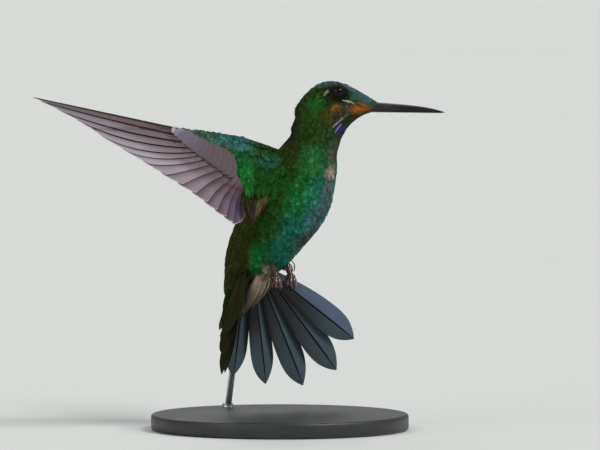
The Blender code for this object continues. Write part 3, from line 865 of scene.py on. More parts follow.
def lie_of_coat(points, normals, body_gap, arm_gap):
    """Which way the feathers lie at each point of the skin."""
    _, ways, middles = along_spine(points)
    lie = -ways + unit(points - middles) * LEAN_OUT
    out, height, _ = wing_places(points)
    side = np.where(points[:, 1] > 0.0, 1.0, -1.0)
    angle = math.radians(WING_BACK)
    along = np.stack((np.full(len(side), -math.cos(angle)), side * math.sin(angle), 0.0 * side), -1)
    part = np.clip(out / ARM_LENGTH, 0.0, 1.0)
    top, bottom = arm_outline(out)
    low = np.clip((top - height) / (top - bottom), 0.0, 1.0)
    dip = np.radians(ARM_DIP[0] - ARM_DIP[1] * part + ARM_DIP[2] * low)
    wing = along * np.cos(dip)[:, None] - np.sin(dip)[:, None] * np.array((0.0, 0.0, 1.0))
    share = smooth_step(body_gap - arm_gap, -1.0, 3.0)[:, None] * smooth_step(out, 2.0, 8.0)[:, None]
    lie = unit(lie) * (1.0 - share) + wing * share
    for aside in (EYE_APART, -EYE_APART):
        away = points - np.array(head_point(EYE_REACH, EYE_HEIGHT, aside * 1.35))
        gap = np.linalg.norm(away, axis=1, keepdims=True)
        near = np.clip(1.0 - (gap - PARTING_START) / PARTING_REACH, 0.0, 1.0)
        lie = lie + unit(away) * PARTING * near
    lie -= normals * (lie * normals).sum(1, keepdims=True)
    return unit(lie)


def evened(mesh, lie, normals):
    """The lie, averaged with its neighbours' so that it has no sudden breaks."""
    ends = coordinates(mesh, "edges", "vertices", 2).astype(int)
    for _ in range(8):
        total = lie.copy()
        np.add.at(total, ends[:, 0], lie[ends[:, 1]])
        np.add.at(total, ends[:, 1], lie[ends[:, 0]])
        total -= normals * (total * normals).sum(1, keepdims=True)
        lie = unit(total)
    return lie


def small_near(points, places, reach):
    """1 away from some places, falling to 0 at them."""
    gap = np.min([np.linalg.norm(points - np.array(place), axis=1) for place in places], axis=0)
    return smooth_step(gap, reach[0], reach[1])


# Feather sizes, as shares of the usual one: the least, and what is added to it.
ARM_SIZES = (0.85, 0.45)       # at the arm's outer end, and more towards the shoulder
EDGE_SIZES = (0.5, 0.5)        # at the arm's edges, and more inside them
FACE_SIZES = (0.45, 0.55)      # at the bill's root, and more towards the nape
LID_SIZES = (0.6, 0.4)         # beside the eye, and more away from it
VENT_SIZE = 0.5                # added below the vent
# Skin that stays bare, as larger feathers cover it: how far out on the arm it starts, how
# wide it is along the lower edge and past the small coverts, and the tail's root.
ARM_BARE_FROM, BARE_EDGE, BARE_UNDER, TAIL_BARE_BELOW = 11.2, 3.4, 1.2, 31.0
BILL_BARE_FROM = 18.4          # along the head, beside the bill


def mark_skin(mesh):
    """Region, lie and feather size over the skin, which the coat follows."""
    points = coordinates(mesh) / MM
    normals = coordinates(mesh, "vertex_normals", "vector")
    part, body_gap, arm_gap = nearest_part(points)
    lie = evened(mesh, lie_of_coat(points, normals, body_gap, arm_gap), normals)
    eyes = [head_point(EYE_REACH, EYE_HEIGHT, a) for a in (EYE_APART * 1.3, -EYE_APART * 1.3)]
    open_eye = small_near(points, eyes, (1.4, 1.65))
    face = small_near(points, [head_point(*BILL_ROOT)], (1.0, 17.0))
    near_eye = small_near(points, eyes, (2.0, 6.0))
    out, height, lift = wing_places(points)
    vent = smooth_step(VENT_TOP - points[:, 2], 0.0, 4.0)
    rump = vent * smooth_step(-points[:, 0] - 0.5 * (56.0 - points[:, 2]), 4.0, 8.0)
    size = np.ones(len(points))
    inwards = np.clip(1.0 - out / ARM_LENGTH, 0.0, 1.0)
    size = np.where(part >= ARM_PART, ARM_SIZES[0] + ARM_SIZES[1] * inwards, size)
    from_top = along_line(ARM_TOP, out) - height
    from_edge = np.minimum(from_top, height - along_line(ARM_BOTTOM, out) + 0.6)
    inside = EDGE_SIZES[0] + EDGE_SIZES[1] * smooth_step(from_edge, 0.3, 2.6)
    size = np.where(part >= ARM_PART, size * inside, size)
    beside_eye = LID_SIZES[0] + LID_SIZES[1] * near_eye
    size = np.where(part == HEAD_PART, (FACE_SIZES[0] + FACE_SIZES[1] * face) * beside_eye, size)
    size = size * (1.0 + VENT_SIZE * vent)
    low = height < along_line(ARM_BOTTOM, out) + BARE_EDGE
    under = (lift > -0.3) & (height < along_line(COVERT_EDGE, out) + BARE_UNDER)
    bare = (part >= ARM_PART) & (out > ARM_BARE_FROM) & (low | under)
    bare |= points[:, 2] < TAIL_BARE_BELOW
    forward = np.array(head_way(1.0))
    ahead = (points - (NECK_PIVOT, 0.0, 0.0)) @ forward
    beside_bill = np.abs(points[:, 2] - BILL_ROOT[1]) < 0.4 * (ahead - 18.2)
    bare |= (part == HEAD_PART) & (ahead > BILL_BARE_FROM) & beside_bill
    cover = np.where(bare, 0.0, 1.0) * open_eye
    set_attribute(mesh, "lie", "FLOAT_VECTOR", lie)
    set_attribute(mesh, "size", "FLOAT", size)
    set_attribute(mesh, "cover", "FLOAT", cover)
    ruffled_places = [head_point(-6.6, 101.0), head_point(-7.4, 96.0), (20.6, 0.5, 79.5)]
    ruffled = small_near(points, ruffled_places, (1.0, 3.0))
    set_attribute(mesh, "fluff", "FLOAT", np.maximum(vent * (1.0 - rump), 0.9 * (1.0 - ruffled)))
    corners = np.array([p.vertices[0] for p in mesh.polygons])    # one point of each face
    region = part[corners]
    reach = np.linalg.norm(points - np.array(head_point(*BILL_ROOT)), axis=1)[corners]
    facial = (reach < FACE_REACH) | (near_eye[corners] < 0.6)
    region = np.where((region == HEAD) & facial, FACE, region)
    front = belly_side(points[corners, 0], points[corners, 2])
    region = np.where((region == BREAST) & (front < 0.5), BACK, region)
    below_vent = points[corners, 2] < VENT_TOP
    region = np.where(np.isin(region, (BREAST, BACK)) & below_vent, VENT, region)
    set_attribute(mesh, "region", "INT", region.astype(np.int32), "FACE")


# A lid from the eyeball outwards: how far outside the opening, and how far off the eyeball.
LID_PROFILE = (
    (0.0, 0.0), (0.03, 0.06), (0.09, 0.08), (0.16, 0.06),
    (0.26, 0.03), (0.42, 0.03), (0.75, -0.15), (1.0, -1.0),
)
LID_OPENING = (1.72, 1.36)     # half its width, and half its height
LID_POINTS = 48                # round the eye


def lid_ring(side):
    """A rim of lid round an eye, from the eyeball out into the skin."""
    centre = head_point(EYE_REACH, EYE_HEIGHT, side * EYE_APART)
    forward = head_way(1.0)
    outward = eye_way(side)
    ahead = (forward - outward * forward.dot(outward)).normalized()
    above = outward.cross(ahead) * (1.0 if side < 0 else -1.0)
    above = above if above.z > 0 else -above
    grid = []
    for grow, stand in LID_PROFILE:
        ring = []
        for step in range(LID_POINTS):
            angle = FULL_TURN * step / LID_POINTS
            wide = (LID_OPENING[0] + grow) * (1.0 + 0.06 * math.cos(2.0 * angle))
            tall = LID_OPENING[1] + grow
            x, y = wide * math.cos(angle), tall * math.sin(angle)
            depth = math.sqrt(max(EYE_RADIUS ** 2 - min(x * x + y * y, 4.0), 0.2)) + stand
            ring.append(centre + ahead * x + above * y + outward * depth)
        grid.append(ring)
    return np.array(grid)


class BIRD_OT_skin(bpy.types.Operator):
    """One skin over trunk, neck, head and arms, with lids round the eyes"""
    bl_idname = "bird.skin"
    bl_label = "Skin"

    def execute(self, context):
        rough = swollen_flesh()
        remesh = rough.modifiers.new("Remesh", "REMESH")
        remesh.mode = "VOXEL"
        remesh.voxel_size = SKIN_STEP * MM
        smooth = rough.modifiers.new("Smooth", "SMOOTH")
        smooth.factor = 0.5
        smooth.iterations = SKIN_SMOOTHING
        skin = applied(rough, "skin")
        mesh = skin.data
        points = coordinates(mesh) / MM
        normals = coordinates(mesh, "vertex_normals", "vector")
        out, _, _ = wing_places(points)
        part, _, _ = nearest_part(points)
        thin_coat = np.minimum(COAT_DEPTH, ARM_COAT_SHARE * arm_thickness(out))
        depth = np.where(part >= ARM_PART, thin_coat, COAT_DEPTH)
        points -= normals * (depth + SWELL)[:, None]
        mesh.vertices.foreach_set("co", (points * MM).ravel())
        mesh.update()
        mark_skin(mesh)
        mesh.materials.clear()
        down = new_material("down_and_skin", skin_finish, Roughness=0.7, Specular_IOR_Level=0.0)
        mesh.materials.append(down)
        smooth_faces(mesh)
        lids = Sheaf()
        for side in (1, -1):
            grid = lid_ring(side)
            across = np.zeros(grid.shape[:2] + (2,))
            across[..., 1] = np.linspace(0.0, 1.0, len(grid))[:, None]
            lids.add_grid(grid, across, 0.0, 0.0, closed=True, flip=side < 0)
        bare = new_material("eyelid", lid_finish, Roughness=0.8, Specular_IOR_Level=0.02)
        rim = lids.build("eyelids", bare)
        rim.data.uv_layers.remove(rim.data.uv_layers["OFBake"])
        finish_piece(rim, "head_plumage")
        finish_piece(skin, "body_plumage", *FLESH)
        return {"FINISHED"}


def lid_finish(tree):
    """Dark bare lid, finely wrinkled, that turns to the brown of the face outwards."""
    grain = tree.noise(here(tree), 5000.0, 3.0)
    colour = tree.mix(grain, tint("0c0a0a"), tint("1a1612"))
    _, outwards = tree.places()
    colour = tree.mix(tree.rise(outwards, 0.3, 0.65), colour, tint("2a281d"))
    bump = tree.bump(0.5, 0.1, grain)
    return {"Base Color": colour, "Normal": bump}


# ---- small feathers --------------------------------------------------------------------

def feather_shape(name, outline, rows, columns, bend, arch):
    """A closed feather one unit long, lying along +X, that curls down towards its tip."""
    verts, across = [], []
    sides = columns + 1
    for row in range(rows):
        part = row / (rows - 1)
        half = float(np.interp(part, [p[0] for p in outline], [p[1] for p in outline]))
        droop = -bend * part * part
        for column in range(columns):
            place = -1.0 + 2.0 * column / (columns - 1)
            verts.append((part, place * half, droop - arch * place * place * half))
            across.append((place * 0.5 + 0.5, part))
        verts.append((part, 0.0, droop - 0.03 * (1.0 - part) - 0.01))
        across.append((0.5, part))
    faces = []
    for row in range(rows - 1):
        a, b = row * sides, (row + 1) * sides
        ring = list(range(columns)) + [columns]
        for first, second in zip(ring, ring[1:] + ring[:1]):
            faces.append((a + first, a + second, b + second, b + first)[::-1])
    faces.append(tuple(range(sides)))
    faces.append(tuple(range((rows - 1) * sides, rows * sides))[::-1])
    mesh = bpy.data.meshes.new(name)
    mesh.from_pydata(verts, [], faces)
    set_attribute(mesh, "across", "FLOAT2", np.array(across))
    smooth_faces(mesh)
    ends = [row * sides for row in range(rows)]
    pairs = list(zip(ends, ends[1:]))
    rims = pairs + [(a + columns - 1, b + columns - 1) for a, b in pairs]
    rims += [(ends[-1] + c, ends[-1] + c + 1) for c in range(columns - 1)]
    sharpen(mesh, rims)
    return bpy.data.objects.new(name, mesh)


def feather_shapes(kind, rows, columns, outlines, bend, arch):
    """A collection of like feathers for the coat to pick from."""
    group = bpy.data.collections.new(kind)
    for number, outline in enumerate(outlines):
        group.objects.link(feather_shape("%s_%d" % (kind, number), outline, rows, columns, bend, arch))
    return group


def add_inputs(group, inputs):
    """Named inputs of a tree, and its one output; returns their identifiers."""
    names = {}
    for name, kind, default in inputs:
        socket = group.interface.new_socket(name, in_out="INPUT", socket_type="NodeSocket" + kind)
        if default is not None:
            socket.default_value = default
        names[name] = socket.identifier
    group.interface.new_socket("Geometry", in_out="OUTPUT", socket_type="NodeSocketGeometry")
    return names


def random_value(tree, low, high, seed):
    """A random number for each feather."""
    return tree.add("FunctionNodeRandomValue", {"data_type": "FLOAT"},
                    {2: low, 3: high, "Seed": seed}, 1)


def named(tree, name, kind="FLOAT"):
    """A named attribute of the geometry, read in a tree."""
    return tree.add("GeometryNodeInputNamedAttribute", {"data_type": kind}, {"Name": name})


def stored(tree, geometry, name, kind, value):
    """The geometry with a value kept at each of its points under a name."""
    settings = {"data_type": kind, "domain": "POINT"}
    return tree.add("GeometryNodeStoreNamedAttribute", settings,
                    {"Geometry": geometry, "Name": name, "Value": value})


def close_tree(tree, geometry, material):
    """End a tree with real geometry in its material."""
    solid = tree.add("GeometryNodeRealizeInstances", None, {0: geometry})
    done = tree.add("GeometryNodeSetMaterial", None, {"Geometry": solid, "Material": material})
    tree.add("NodeGroupOutput", None, {0: done})


def grown(base, name, group, names, values):
    """What a tree of nodes makes of an object, as a plain mesh."""
    modifier = base.modifiers.new(name, "NODES")
    modifier.node_group = group
    for label, value in values.items():
        modifier[names[label]] = value
    done = applied(base, name)
    smooth_faces(done.data)
    return done


def coat_tree():
    """Feathers over one region of a skin: evenly spaced roots, laid back along the lie."""
    group = bpy.data.node_groups.new("feather_coat", "GeometryNodeTree")
    names = add_inputs(group, (
        ("Skin", "Geometry", None), ("Region", "Int", 0), ("Spacing", "Float", 0.001),
        ("Length", "Float", 0.003), ("Width", "Float", 0.002), ("Tilt", "Float", 0.2),
        ("Stray", "Float", 0.15), ("Fluff", "Float", 0.4), ("Feathers", "Collection", None),
        ("Seed", "Int", 0), ("Material", "Material", None)))
    tree = Tree(group)
    given = tree.add("NodeGroupInput")
    spacing = given.other("Spacing")
    seed = given.other("Seed")
    here_region = tree.add("FunctionNodeCompare", {"data_type": "INT", "operation": "EQUAL"},
                           {2: named(tree, "region", "INT"), 3: given.other("Region")})
    points = tree.add("GeometryNodeDistributePointsOnFaces", {"distribute_method": "POISSON"}, {
        "Mesh": given.other("Skin"), "Selection": here_region, "Distance Min": spacing,
        "Density Max": 5.0 / (spacing * spacing), "Density Factor": named(tree, "cover"), "Seed": seed})
    normal = points.other("Normal")
    lean = tree.add("FunctionNodeAxesToRotation", {"primary_axis": "Z", "secondary_axis": "X"},
                    {0: normal, 1: named(tree, "lie", "FLOAT_VECTOR")})
    stray = given.other("Stray")
    raised = given.other("Tilt") + named(tree, "fluff") * given.other("Fluff")
    raised = raised + random_value(tree, -0.05, 0.07, seed + 1)
    roll = random_value(tree, -1.0, 1.0, seed + 2) * stray
    swing = random_value(tree, -1.0, 1.0, seed + 3) * stray * 1.4
    turn = tree.add("FunctionNodeEulerToRotation", None, {0: tree.join(roll, raised * -1.0, swing)})
    turned_by = tree.add("FunctionNodeRotateRotation", {"rotation_space": "LOCAL"}, {0: lean, 1: turn})
    size = named(tree, "size") * random_value(tree, 0.85, 1.18, seed + 4)
    long = given.other("Length") * size
    wide = given.other("Width") * size * random_value(tree, 0.9, 1.1, seed + 5)
    tones = random_value(tree, 0.0, 1.0, seed + 6)
    rooted = stored(tree, points, "root", "FLOAT_VECTOR", tree.add("GeometryNodeInputPosition"))
    rooted = stored(tree, rooted, "tone", "FLOAT", tones)
    shapes = tree.add("GeometryNodeCollectionInfo", None, {
        "Collection": given.other("Feathers"), "Separate Children": True, "Reset Children": True})
    laid = tree.add("GeometryNodeInstanceOnPoints", None, {
        "Points": rooted, "Instance": shapes, "Pick Instance": True,
        "Rotation": turned_by, "Scale": tree.join(long, wide, long)})
    close_tree(tree, laid, given.other("Material"))
    return group, names


def unwrapped(roots):
    """The place of each root on an unrolled skin: round and along the body."""
    station, ways, middles = along_spine(roots)
    left = unit(np.cross(ways, (1.0, 0.0, -0.4)) + 1e-6)
    belly = np.cross(ways, left)
    away = roots - middles
    angle = np.arctan2((away * left).sum(1), (away * belly).sum(1))
    return np.stack((angle / FULL_TURN + 0.5, station), -1)


def unwrapped_arm(roots):
    """The place of each root on an arm's two faces, laid side by side."""
    out, height, lift = wing_places(roots)
    top, bottom = arm_outline(out)
    high = np.clip((height - bottom) / (top - bottom), 0.0, 1.0)
    return np.stack((out / ARM_LENGTH, high * 0.46 + np.where(lift > 0.0, 0.52, 0.02)), -1)


TUFT_PATCH = 0.003             # size of a feather's patch on the bake map


def map_coat(mesh, arm):
    """The bake map: every feather a small patch at its root's place on the unrolled skin."""
    roots = read_attribute(mesh, "root", 3) / MM
    across = read_attribute(mesh, "across", 2)
    flat = unwrapped_arm(roots) if arm else unwrapped(roots)
    low, high = flat.min(0), flat.max(0)
    places = 0.01 + 0.98 * (flat - low) / (high - low) + (across - 0.5) * TUFT_PATCH
    set_bake_map(mesh, places)


# Coat pieces: name, skin region, spacing, length and width in mm, tilt and stray in
# radians, extra tilt where the coat is fluffy, kind of feather.
COAT_PIECES = (
    ("coat_breast", BREAST, 0.66, 2.5, 1.5, 0.1, 0.12, 0.3, "body_feather", "body_plumage"),
    ("coat_back", BACK, 0.66, 2.7, 1.5, 0.1, 0.12, 0.3, "body_feather", "body_plumage"),
    ("coat_vent", VENT, 0.7, 3.8, 1.4, 0.09, 0.18, 0.28, "loose_feather", "body_plumage"),
    ("coat_neck", NECK, 0.6, 2.1, 1.2, 0.1, 0.16, 0.3, "body_feather", "head_plumage"),
    ("coat_head", HEAD, 0.5, 1.6, 0.95, 0.1, 0.12, 0.3, "body_feather", "head_plumage"),
    ("coat_face", FACE, 0.38, 1.25, 0.65, 0.1, 0.12, 0.3, "body_feather", "head_plumage"),
    ("coat_wing_left", WING_LEFT, 0.52, 2.2, 1.25, 0.05, 0.12, 0.3, "body_feather", "body_plumage"),
    ("coat_wing_right", WING_RIGHT, 0.52, 2.2, 1.25, 0.05, 0.12, 0.3, "body_feather", "body_plumage"),
)
ROUND = ((0.0, 0.14), (0.2, 0.36), (0.5, 0.5), (0.75, 0.48), (0.9, 0.34), (1.0, 0.1))
BLUNT = ((0.0, 0.14), (0.2, 0.34), (0.5, 0.46), (0.78, 0.5), (0.93, 0.36), (1.0, 0.2))
POINTED = ((0.0, 0.14), (0.2, 0.34), (0.45, 0.46), (0.7, 0.4), (0.88, 0.22), (1.0, 0.04))


def make_shapes():
    """The kinds of small feather."""
    return {
        "body_feather": feather_shapes("body_feather", 5, 3, (ROUND, BLUNT, POINTED), 0.06, 0.06),
        "loose_feather": feather_shapes("loose_feather", 6, 3, (POINTED, ROUND), 0.12, 0.08),
    }


class BIRD_OT_coat(bpy.types.Operator):
    """The small feathers over the skin, region by region"""
    bl_idname = "bird.coat"
    bl_label = "Coat"

    def execute(self, context):
        skin = bpy.data.objects["skin"]
        group, names = coat_tree()
        shapes = make_shapes()
        finish = new_material("small_feathers", coat_finish, Specular_IOR_Level=0.0)
        for name, region, spacing, length, width, tilt, stray, fluff, kind, slot in COAT_PIECES:
            base = link(name + "_base", skin.data.copy())
            coat = grown(base, name, group, names, {
                "Region": region, "Spacing": spacing * MM, "Width": width * MM,
                "Length": length * MM * chosen("plumage").length,
                "Tilt": tilt, "Stray": stray, "Fluff": fluff, "Feathers": shapes[kind],
                "Seed": chosen("plumage").seed + 20 * region, "Material": finish})
            map_coat(coat.data, "wing" in name)
            finish_piece(coat, slot)
        return {"FINISHED"}


# ---- flight feathers --------------------------------------------------------------------

def wing_colour(tree, tone):
    """Underside colour of a flight feather by its place: 0 outermost primary, 1 innermost secondary."""
    vane = chosen_colour("quills", "vane")
    return tree.add("ShaderNodeValToRGB", {"stops": (
        (0.0, tint("6e6267")), (0.07, tint("928790")), (0.3, vane), (0.6, tint("8b7984")),
        (0.8, tint("6c5a70")), (1.0, tint("443850")))}, {0: tone})


def quill_finish(tree):
    """A flight feather: dark narrow outer vane and shaft line, pale inner vane, painted soft shade
    where the next feather overlaps, fine barbs.
    """
    across, along = tree.places()
    tone = tree.attribute("tone")
    under = tree.attribute("under")
    off = abs(across - 0.27)
    line = tree.rise(tone, 0.2, 0.6, 1.0, 0.22)
    shaft = (1.0 - tree.rise(off, 0.015, 0.06)) * line
    outer = (1.0 - tree.rise(across, 0.22, 0.3)) * (line - 0.2) * 0.95
    outer = outer + (1.0 - tree.rise(across, 0.25, 0.6)) * (1.0 - tree.rise(tone, 0.0, 0.05)) * 0.6
    outer = outer + (1.0 - tree.rise(across, 0.25, 0.5)) * (1.0 - tree.rise(tone, 0.15, 0.5)) * 0.4
    barbs, clump = tree.barbs(across, along, off, tone, (480.0, 170.0), (34.0, 11.0, 1.5))
    wash = tree.wash(across * 2.0, along * 3.0, tone)
    colour = wing_colour(tree, tone)
    # Darker towards the leading side on the inner feathers: painted soft shade where the next feather's
    # trailing edge lies over it.
    inner = tree.mix(tree.rise(across, 0.25, 0.8), tint("54444c"), colour)
    colour = tree.mix(tree.rise(tone, 0.3, 0.8, 0.35, 0.85), colour, inner)
    colour = tree.mix(tree.rise(along, 0.2, 0.6, 0.5, 0.0), colour, tint("75595a"))
    colour = tree.mix(outer, colour, tint("3a2e30"))
    rim = tree.rise(across, 0.93, 0.99) * 0.12 + tree.rise(along, 0.97, 0.99) * 0.5
    colour = tree.mix(rim, colour, tint("d6ccca"))
    colour = tree.mix(shaft, colour, chosen_colour("quills", "shaft"))
    colour = tree.mix((1.0 - under) * 0.8, colour, tint("2a2529"))
    light = 0.78 + clump * 0.22 + barbs * 0.03 + wash * 0.22
    colour = tree.shaded(colour, light)
    bump = tree.bump(0.25, 0.06, barbs + clump)
    return {"Base Color": colour, "Roughness": 0.5 + clump * 0.15, "Normal": bump}


def covert_finish(tree):
    """A greater covert: slate at the outer end, mauve-grey inwards, with a soft dark edge and dark tips
    that are painted shade.
    """
    across, along = tree.places()
    tone = tree.attribute("tone")
    under = tree.attribute("under")
    off = abs(across - 0.5) * 2.0
    barbs, clump = tree.barbs(across, along, off, tone, (120.0, 40.0), (12.0, 4.0, 2.0))
    colour = tree.mix(tree.rise(tone, 0.1, 0.6), tint("757080"), tint("665a60"))
    colour = tree.mix((1.0 - tree.rise(off, 0.02, 0.08)) * 0.35, colour, tint("4c4247"))
    # A soft dark edge round each covert: painted shade where the coverts overlap.
    edge = tree.larger(tree.rise(along, 0.9, 1.0), tree.rise(off, 0.86, 1.0))
    colour = tree.mix(edge * 0.14, colour, tint("2c2426"))
    # Dark tips along the row's lower edge: a painted shadow line under the coverts.
    tip = tree.rise(along, 0.92, 0.97) * tree.rise(tone, 0.3, 0.6, 0.4, 0.85)
    colour = tree.mix(tree.rise(tone, 0.02, 0.12, 0.6, 0.0), colour, tint("c4bfc8"))
    colour = tree.mix(tip, colour, tint("2c2426"))
    colour = tree.mix(1.0 - under, colour, tint("22351c"))
    light = 0.85 + clump * 0.3 + barbs * 0.03
    colour = tree.shaded(colour, light)
    bump = tree.bump(0.25, 0.06, barbs + clump)
    return {"Base Color": colour, "Roughness": 0.5 + clump * 0.15, "Normal": bump}


def through(points, place):
    """A smooth curve through points at whole places, carried straight on past its ends."""
    points = [Vector(point) for point in points]
    last = len(points) - 1
    if place < 0.0:
        return points[0] + (points[1] - points[0]) * place
    if place > last:
        return points[-1] + (points[-1] - points[-2]) * (place - last)
    return spline(points, place)


QUILL_ROWS, QUILL_COLUMNS = 28, 13
QUILL_LEAD, QUILL_TRAIL = -0.32, 0.93   # a vane's edges from its shaft, in feather widths
SHAFT_COLUMN = round((QUILL_COLUMNS - 1) * -QUILL_LEAD / (QUILL_TRAIL - QUILL_LEAD))
SHAFT_RADIUS, SHAFT_LEAST = 0.26, 0.03  # of the outermost primary over the rest, and of all
LAST_PRIMARY = len(PRIMARY_TIPS) - 1
LAST_QUILL = LAST_PRIMARY + len(SECONDARY_TIPS)
QUILL_LAYER = 0.34             # how far each trailing edge lies over the next feather
WING_CAMBER = 1.6
QUILL_SAG = 0.072              # how far the middle primaries bow, as a share of their length


def quill_grid(index, side):
    """The middle surface of one flight feather, and where each point is across and along."""
    grid = np.zeros((QUILL_ROWS, QUILL_COLUMNS, 3))
    across = np.zeros((QUILL_ROWS, QUILL_COLUMNS, 2))
    tips = PRIMARY_TIPS + SECONDARY_TIPS
    deep = 1.2 - 0.5 * min(index / LAST_PRIMARY, 1.0)
    for column in range(QUILL_COLUMNS):
        place = column / (QUILL_COLUMNS - 1)
        aside = QUILL_LEAD + (QUILL_TRAIL - QUILL_LEAD) * place
        root = through(QUILL_ROOTS, index + aside * 0.85)
        run = through(tips, index + aside) - root
        bow = Vector((run.y, -run.x))
        bow = bow if bow.y < 0.0 else -bow
        inward = min(max((index + aside) / LAST_PRIMARY, 0.0), 1.0)
        bow *= QUILL_SAG * math.sin(math.pi * inward ** 1.15) ** 1.5
        reach = aside / QUILL_TRAIL if aside > 0.0 else aside / QUILL_LEAD * 0.7
        stop = 1.0 - deep * reach ** 2.0 / run.length
        for row in range(QUILL_ROWS):
            part = (row / (QUILL_ROWS - 1)) ** 0.9
            along = stop * part
            flat = root + run * along + bow * (4.0 * along * (1.0 - along))
            free = float(smooth_step(along_line(ARM_BOTTOM, flat.x) - flat.y, -2.0, 5.0))
            lift = arm_half_thickness(flat.x, flat.y) + 0.05
            lift += QUILL_LAYER * aside * min(1.0, along * 4.0)
            lift -= WING_CAMBER * math.sin(math.pi * along) * free
            grid[row, column] = wing_point(flat.x, flat.y, side, lift)
            across[row, column] = (place, part)
    return grid, across


COVERTS = 13                   # greater coverts on each face of a wing
COVERT_THICKNESS = 0.14
COVERT_ROWS, COVERT_COLUMNS = 14, 9
COVERT_WIDTHS = (1.05, 1.2)    # half the outermost one's width, and what is added inwards


def covert_grid(place, side, dorsal):
    """The middle surface of one greater covert; place runs from the outer end (0) inwards (1)."""
    index = place * (len(GREATER_TIPS) - 1)
    root = through(GREATER_ROOTS, index)
    tip = through(GREATER_TIPS, index) - Vector((0.0, 2.0 * place if dorsal else 0.0))
    run = tip - root
    aside = Vector((-run.y, run.x)).normalized()
    aside = -aside if aside.x > 0.0 else aside
    widest = COVERT_WIDTHS[0] + COVERT_WIDTHS[1] * place
    grid = np.zeros((COVERT_ROWS, COVERT_COLUMNS, 3))
    across = np.zeros((COVERT_ROWS, COVERT_COLUMNS, 2))
    for column in range(COVERT_COLUMNS):
        spread = -1.0 + 2.0 * column / (COVERT_COLUMNS - 1)
        for row in range(COVERT_ROWS):
            part = row / (COVERT_ROWS - 1)
            half = widest * (0.4 + 0.6 * math.sin(0.5 * math.pi * min(part / 0.6, 1.0)))
            half *= math.sqrt(max(1.0 - max((part - 0.6) / 0.41, 0.0) ** 2.2, 0.01))
            flat = root + run * part + aside * (spread * half)
            lift = arm_half_thickness(flat.x, flat.y) - 0.32 + 1.05 * part + 0.12 * spread
            lift = -lift if dorsal else lift
            grid[row, column] = wing_point(flat.x, flat.y, side, lift)
            across[row, column] = (0.5 + 0.5 * spread, part)
    return grid, across


def shaft_tree():
    """Tapered shafts along the lines that it is given."""
    group = bpy.data.node_groups.new("feather_shafts", "GeometryNodeTree")
    names = add_inputs(group, (
        ("Lines", "Geometry", None), ("Sides", "Int", 6), ("Material", "Material", None)))
    tree = Tree(group)
    given = tree.add("NodeGroupInput")
    line = tree.add("GeometryNodeMeshToCurve", None, {0: given.other("Lines")})
    ring = tree.add("GeometryNodeCurvePrimitiveCircle", None,
                    {"Resolution": given.other("Sides"), "Radius": 1.0})
    bar = tree.add("GeometryNodeCurveToMesh", None, {
        "Curve": line, "Profile Curve": ring, "Scale": named(tree, "radius"), "Fill Caps": True})
    close_tree(tree, bar, given.other("Material"))
    return group, names


def make_shafts(name, lines, dark, pale):
    """One piece of all the shafts: each line is points in mm and a thickness at its root."""
    verts, edges, radii = [], [], []
    for points, radius in lines:
        start = len(verts)
        count = len(points)
        verts += [tuple(np.array(p) * MM) for p in points]
        edges += [(start + i, start + i + 1) for i in range(count - 1)]
        radii += [radius * MM * (1.0 - 0.8 * i / (count - 1)) for i in range(count)]
    mesh = bpy.data.meshes.new(name)
    mesh.from_pydata(verts, edges, [])
    set_attribute(mesh, "radius", "FLOAT", np.array(radii))
    horn = new_material(name + "_horn", shaft_finish(dark, pale), Specular_IOR_Level=0.0)
    group, names = shaft_tree()
    shafts = grown(link(name + "_base", mesh), name, group, names, {"Sides": 6, "Material": horn})
    finish_piece(shafts, "tail_vanes" if name.startswith("tail") else "wing_vanes")


def shaft_finish(dark, pale):
    """Makes the finish of the shafts: horn, paler in streaks."""
    def finish(tree):
        grain = tree.noise(here(tree), 700.0, 4.0)
        return {"Base Color": tree.mix(grain, dark, pale), "Roughness": 0.35 + grain * 0.2}
    return finish


class BIRD_OT_wings(bpy.types.Operator):
    """Primaries, secondaries and greater coverts of both wings"""
    bl_idname = "bird.wings"
    bl_label = "Wing feathers"

    def execute(self, context):
        thickness = chosen("quills").thickness / MM
        flight = new_material("flight_vane", quill_finish, Specular_IOR_Level=0.02)
        grey = new_material("covert_vane", covert_finish, Specular_IOR_Level=0.0)
        for side, name in SIDES:
            shafts = []
            below = wing_axes(side)[1]
            for row, first, past in (("primaries", 0, LAST_PRIMARY + 1),
                                     ("secondaries", LAST_PRIMARY + 1, LAST_QUILL + 1)):
                sheaf = Sheaf()
                for index in range(first, past):
                    grid, across = quill_grid(index, side)
                    sheaf.add_vane(grid, thickness, across, index / LAST_QUILL, below)
                    radius = SHAFT_RADIUS * max(1.0 - index / LAST_PRIMARY, 0.0) + SHAFT_LEAST
                    shafts.append((grid[:, SHAFT_COLUMN], radius))
                piece = sheaf.build("wing_%s_%s_vanes" % (name, row), flight)
                finish_piece(piece, "wing_vanes", "wing_%s_%s" % (name, row))
            coverts = Sheaf()
            for dorsal in (False, True):
                for number in range(COVERTS):
                    grid, across = covert_grid(number / (COVERTS - 1), side, dorsal)
                    coverts.add_vane(grid, COVERT_THICKNESS, across, number / (COVERTS - 1), below)
            piece = coverts.build("wing_%s_greater_coverts" % name, grey)
            finish_piece(piece, "wing_vanes")
            dark = chosen_colour("quills", "shaft")
            make_shafts("wing_%s_shafts" % name, shafts, dark, tint("4a3a30"))
        return {"FINISHED"}


# ---- tail --------------------------------------------------------------------------------

def tail_half_width(part):
    """Half a tail feather's width along its length, ending in a blunt point."""
    if part < 0.7:
        return 0.7 + (TAIL_HALF_WIDTH - 0.7) * math.sin(0.5 * math.pi * part / 0.7) ** 1.1
    past = (part - 0.7) / 0.3
    return TAIL_HALF_WIDTH * (1.0 - 0.96 * past ** 2.8)


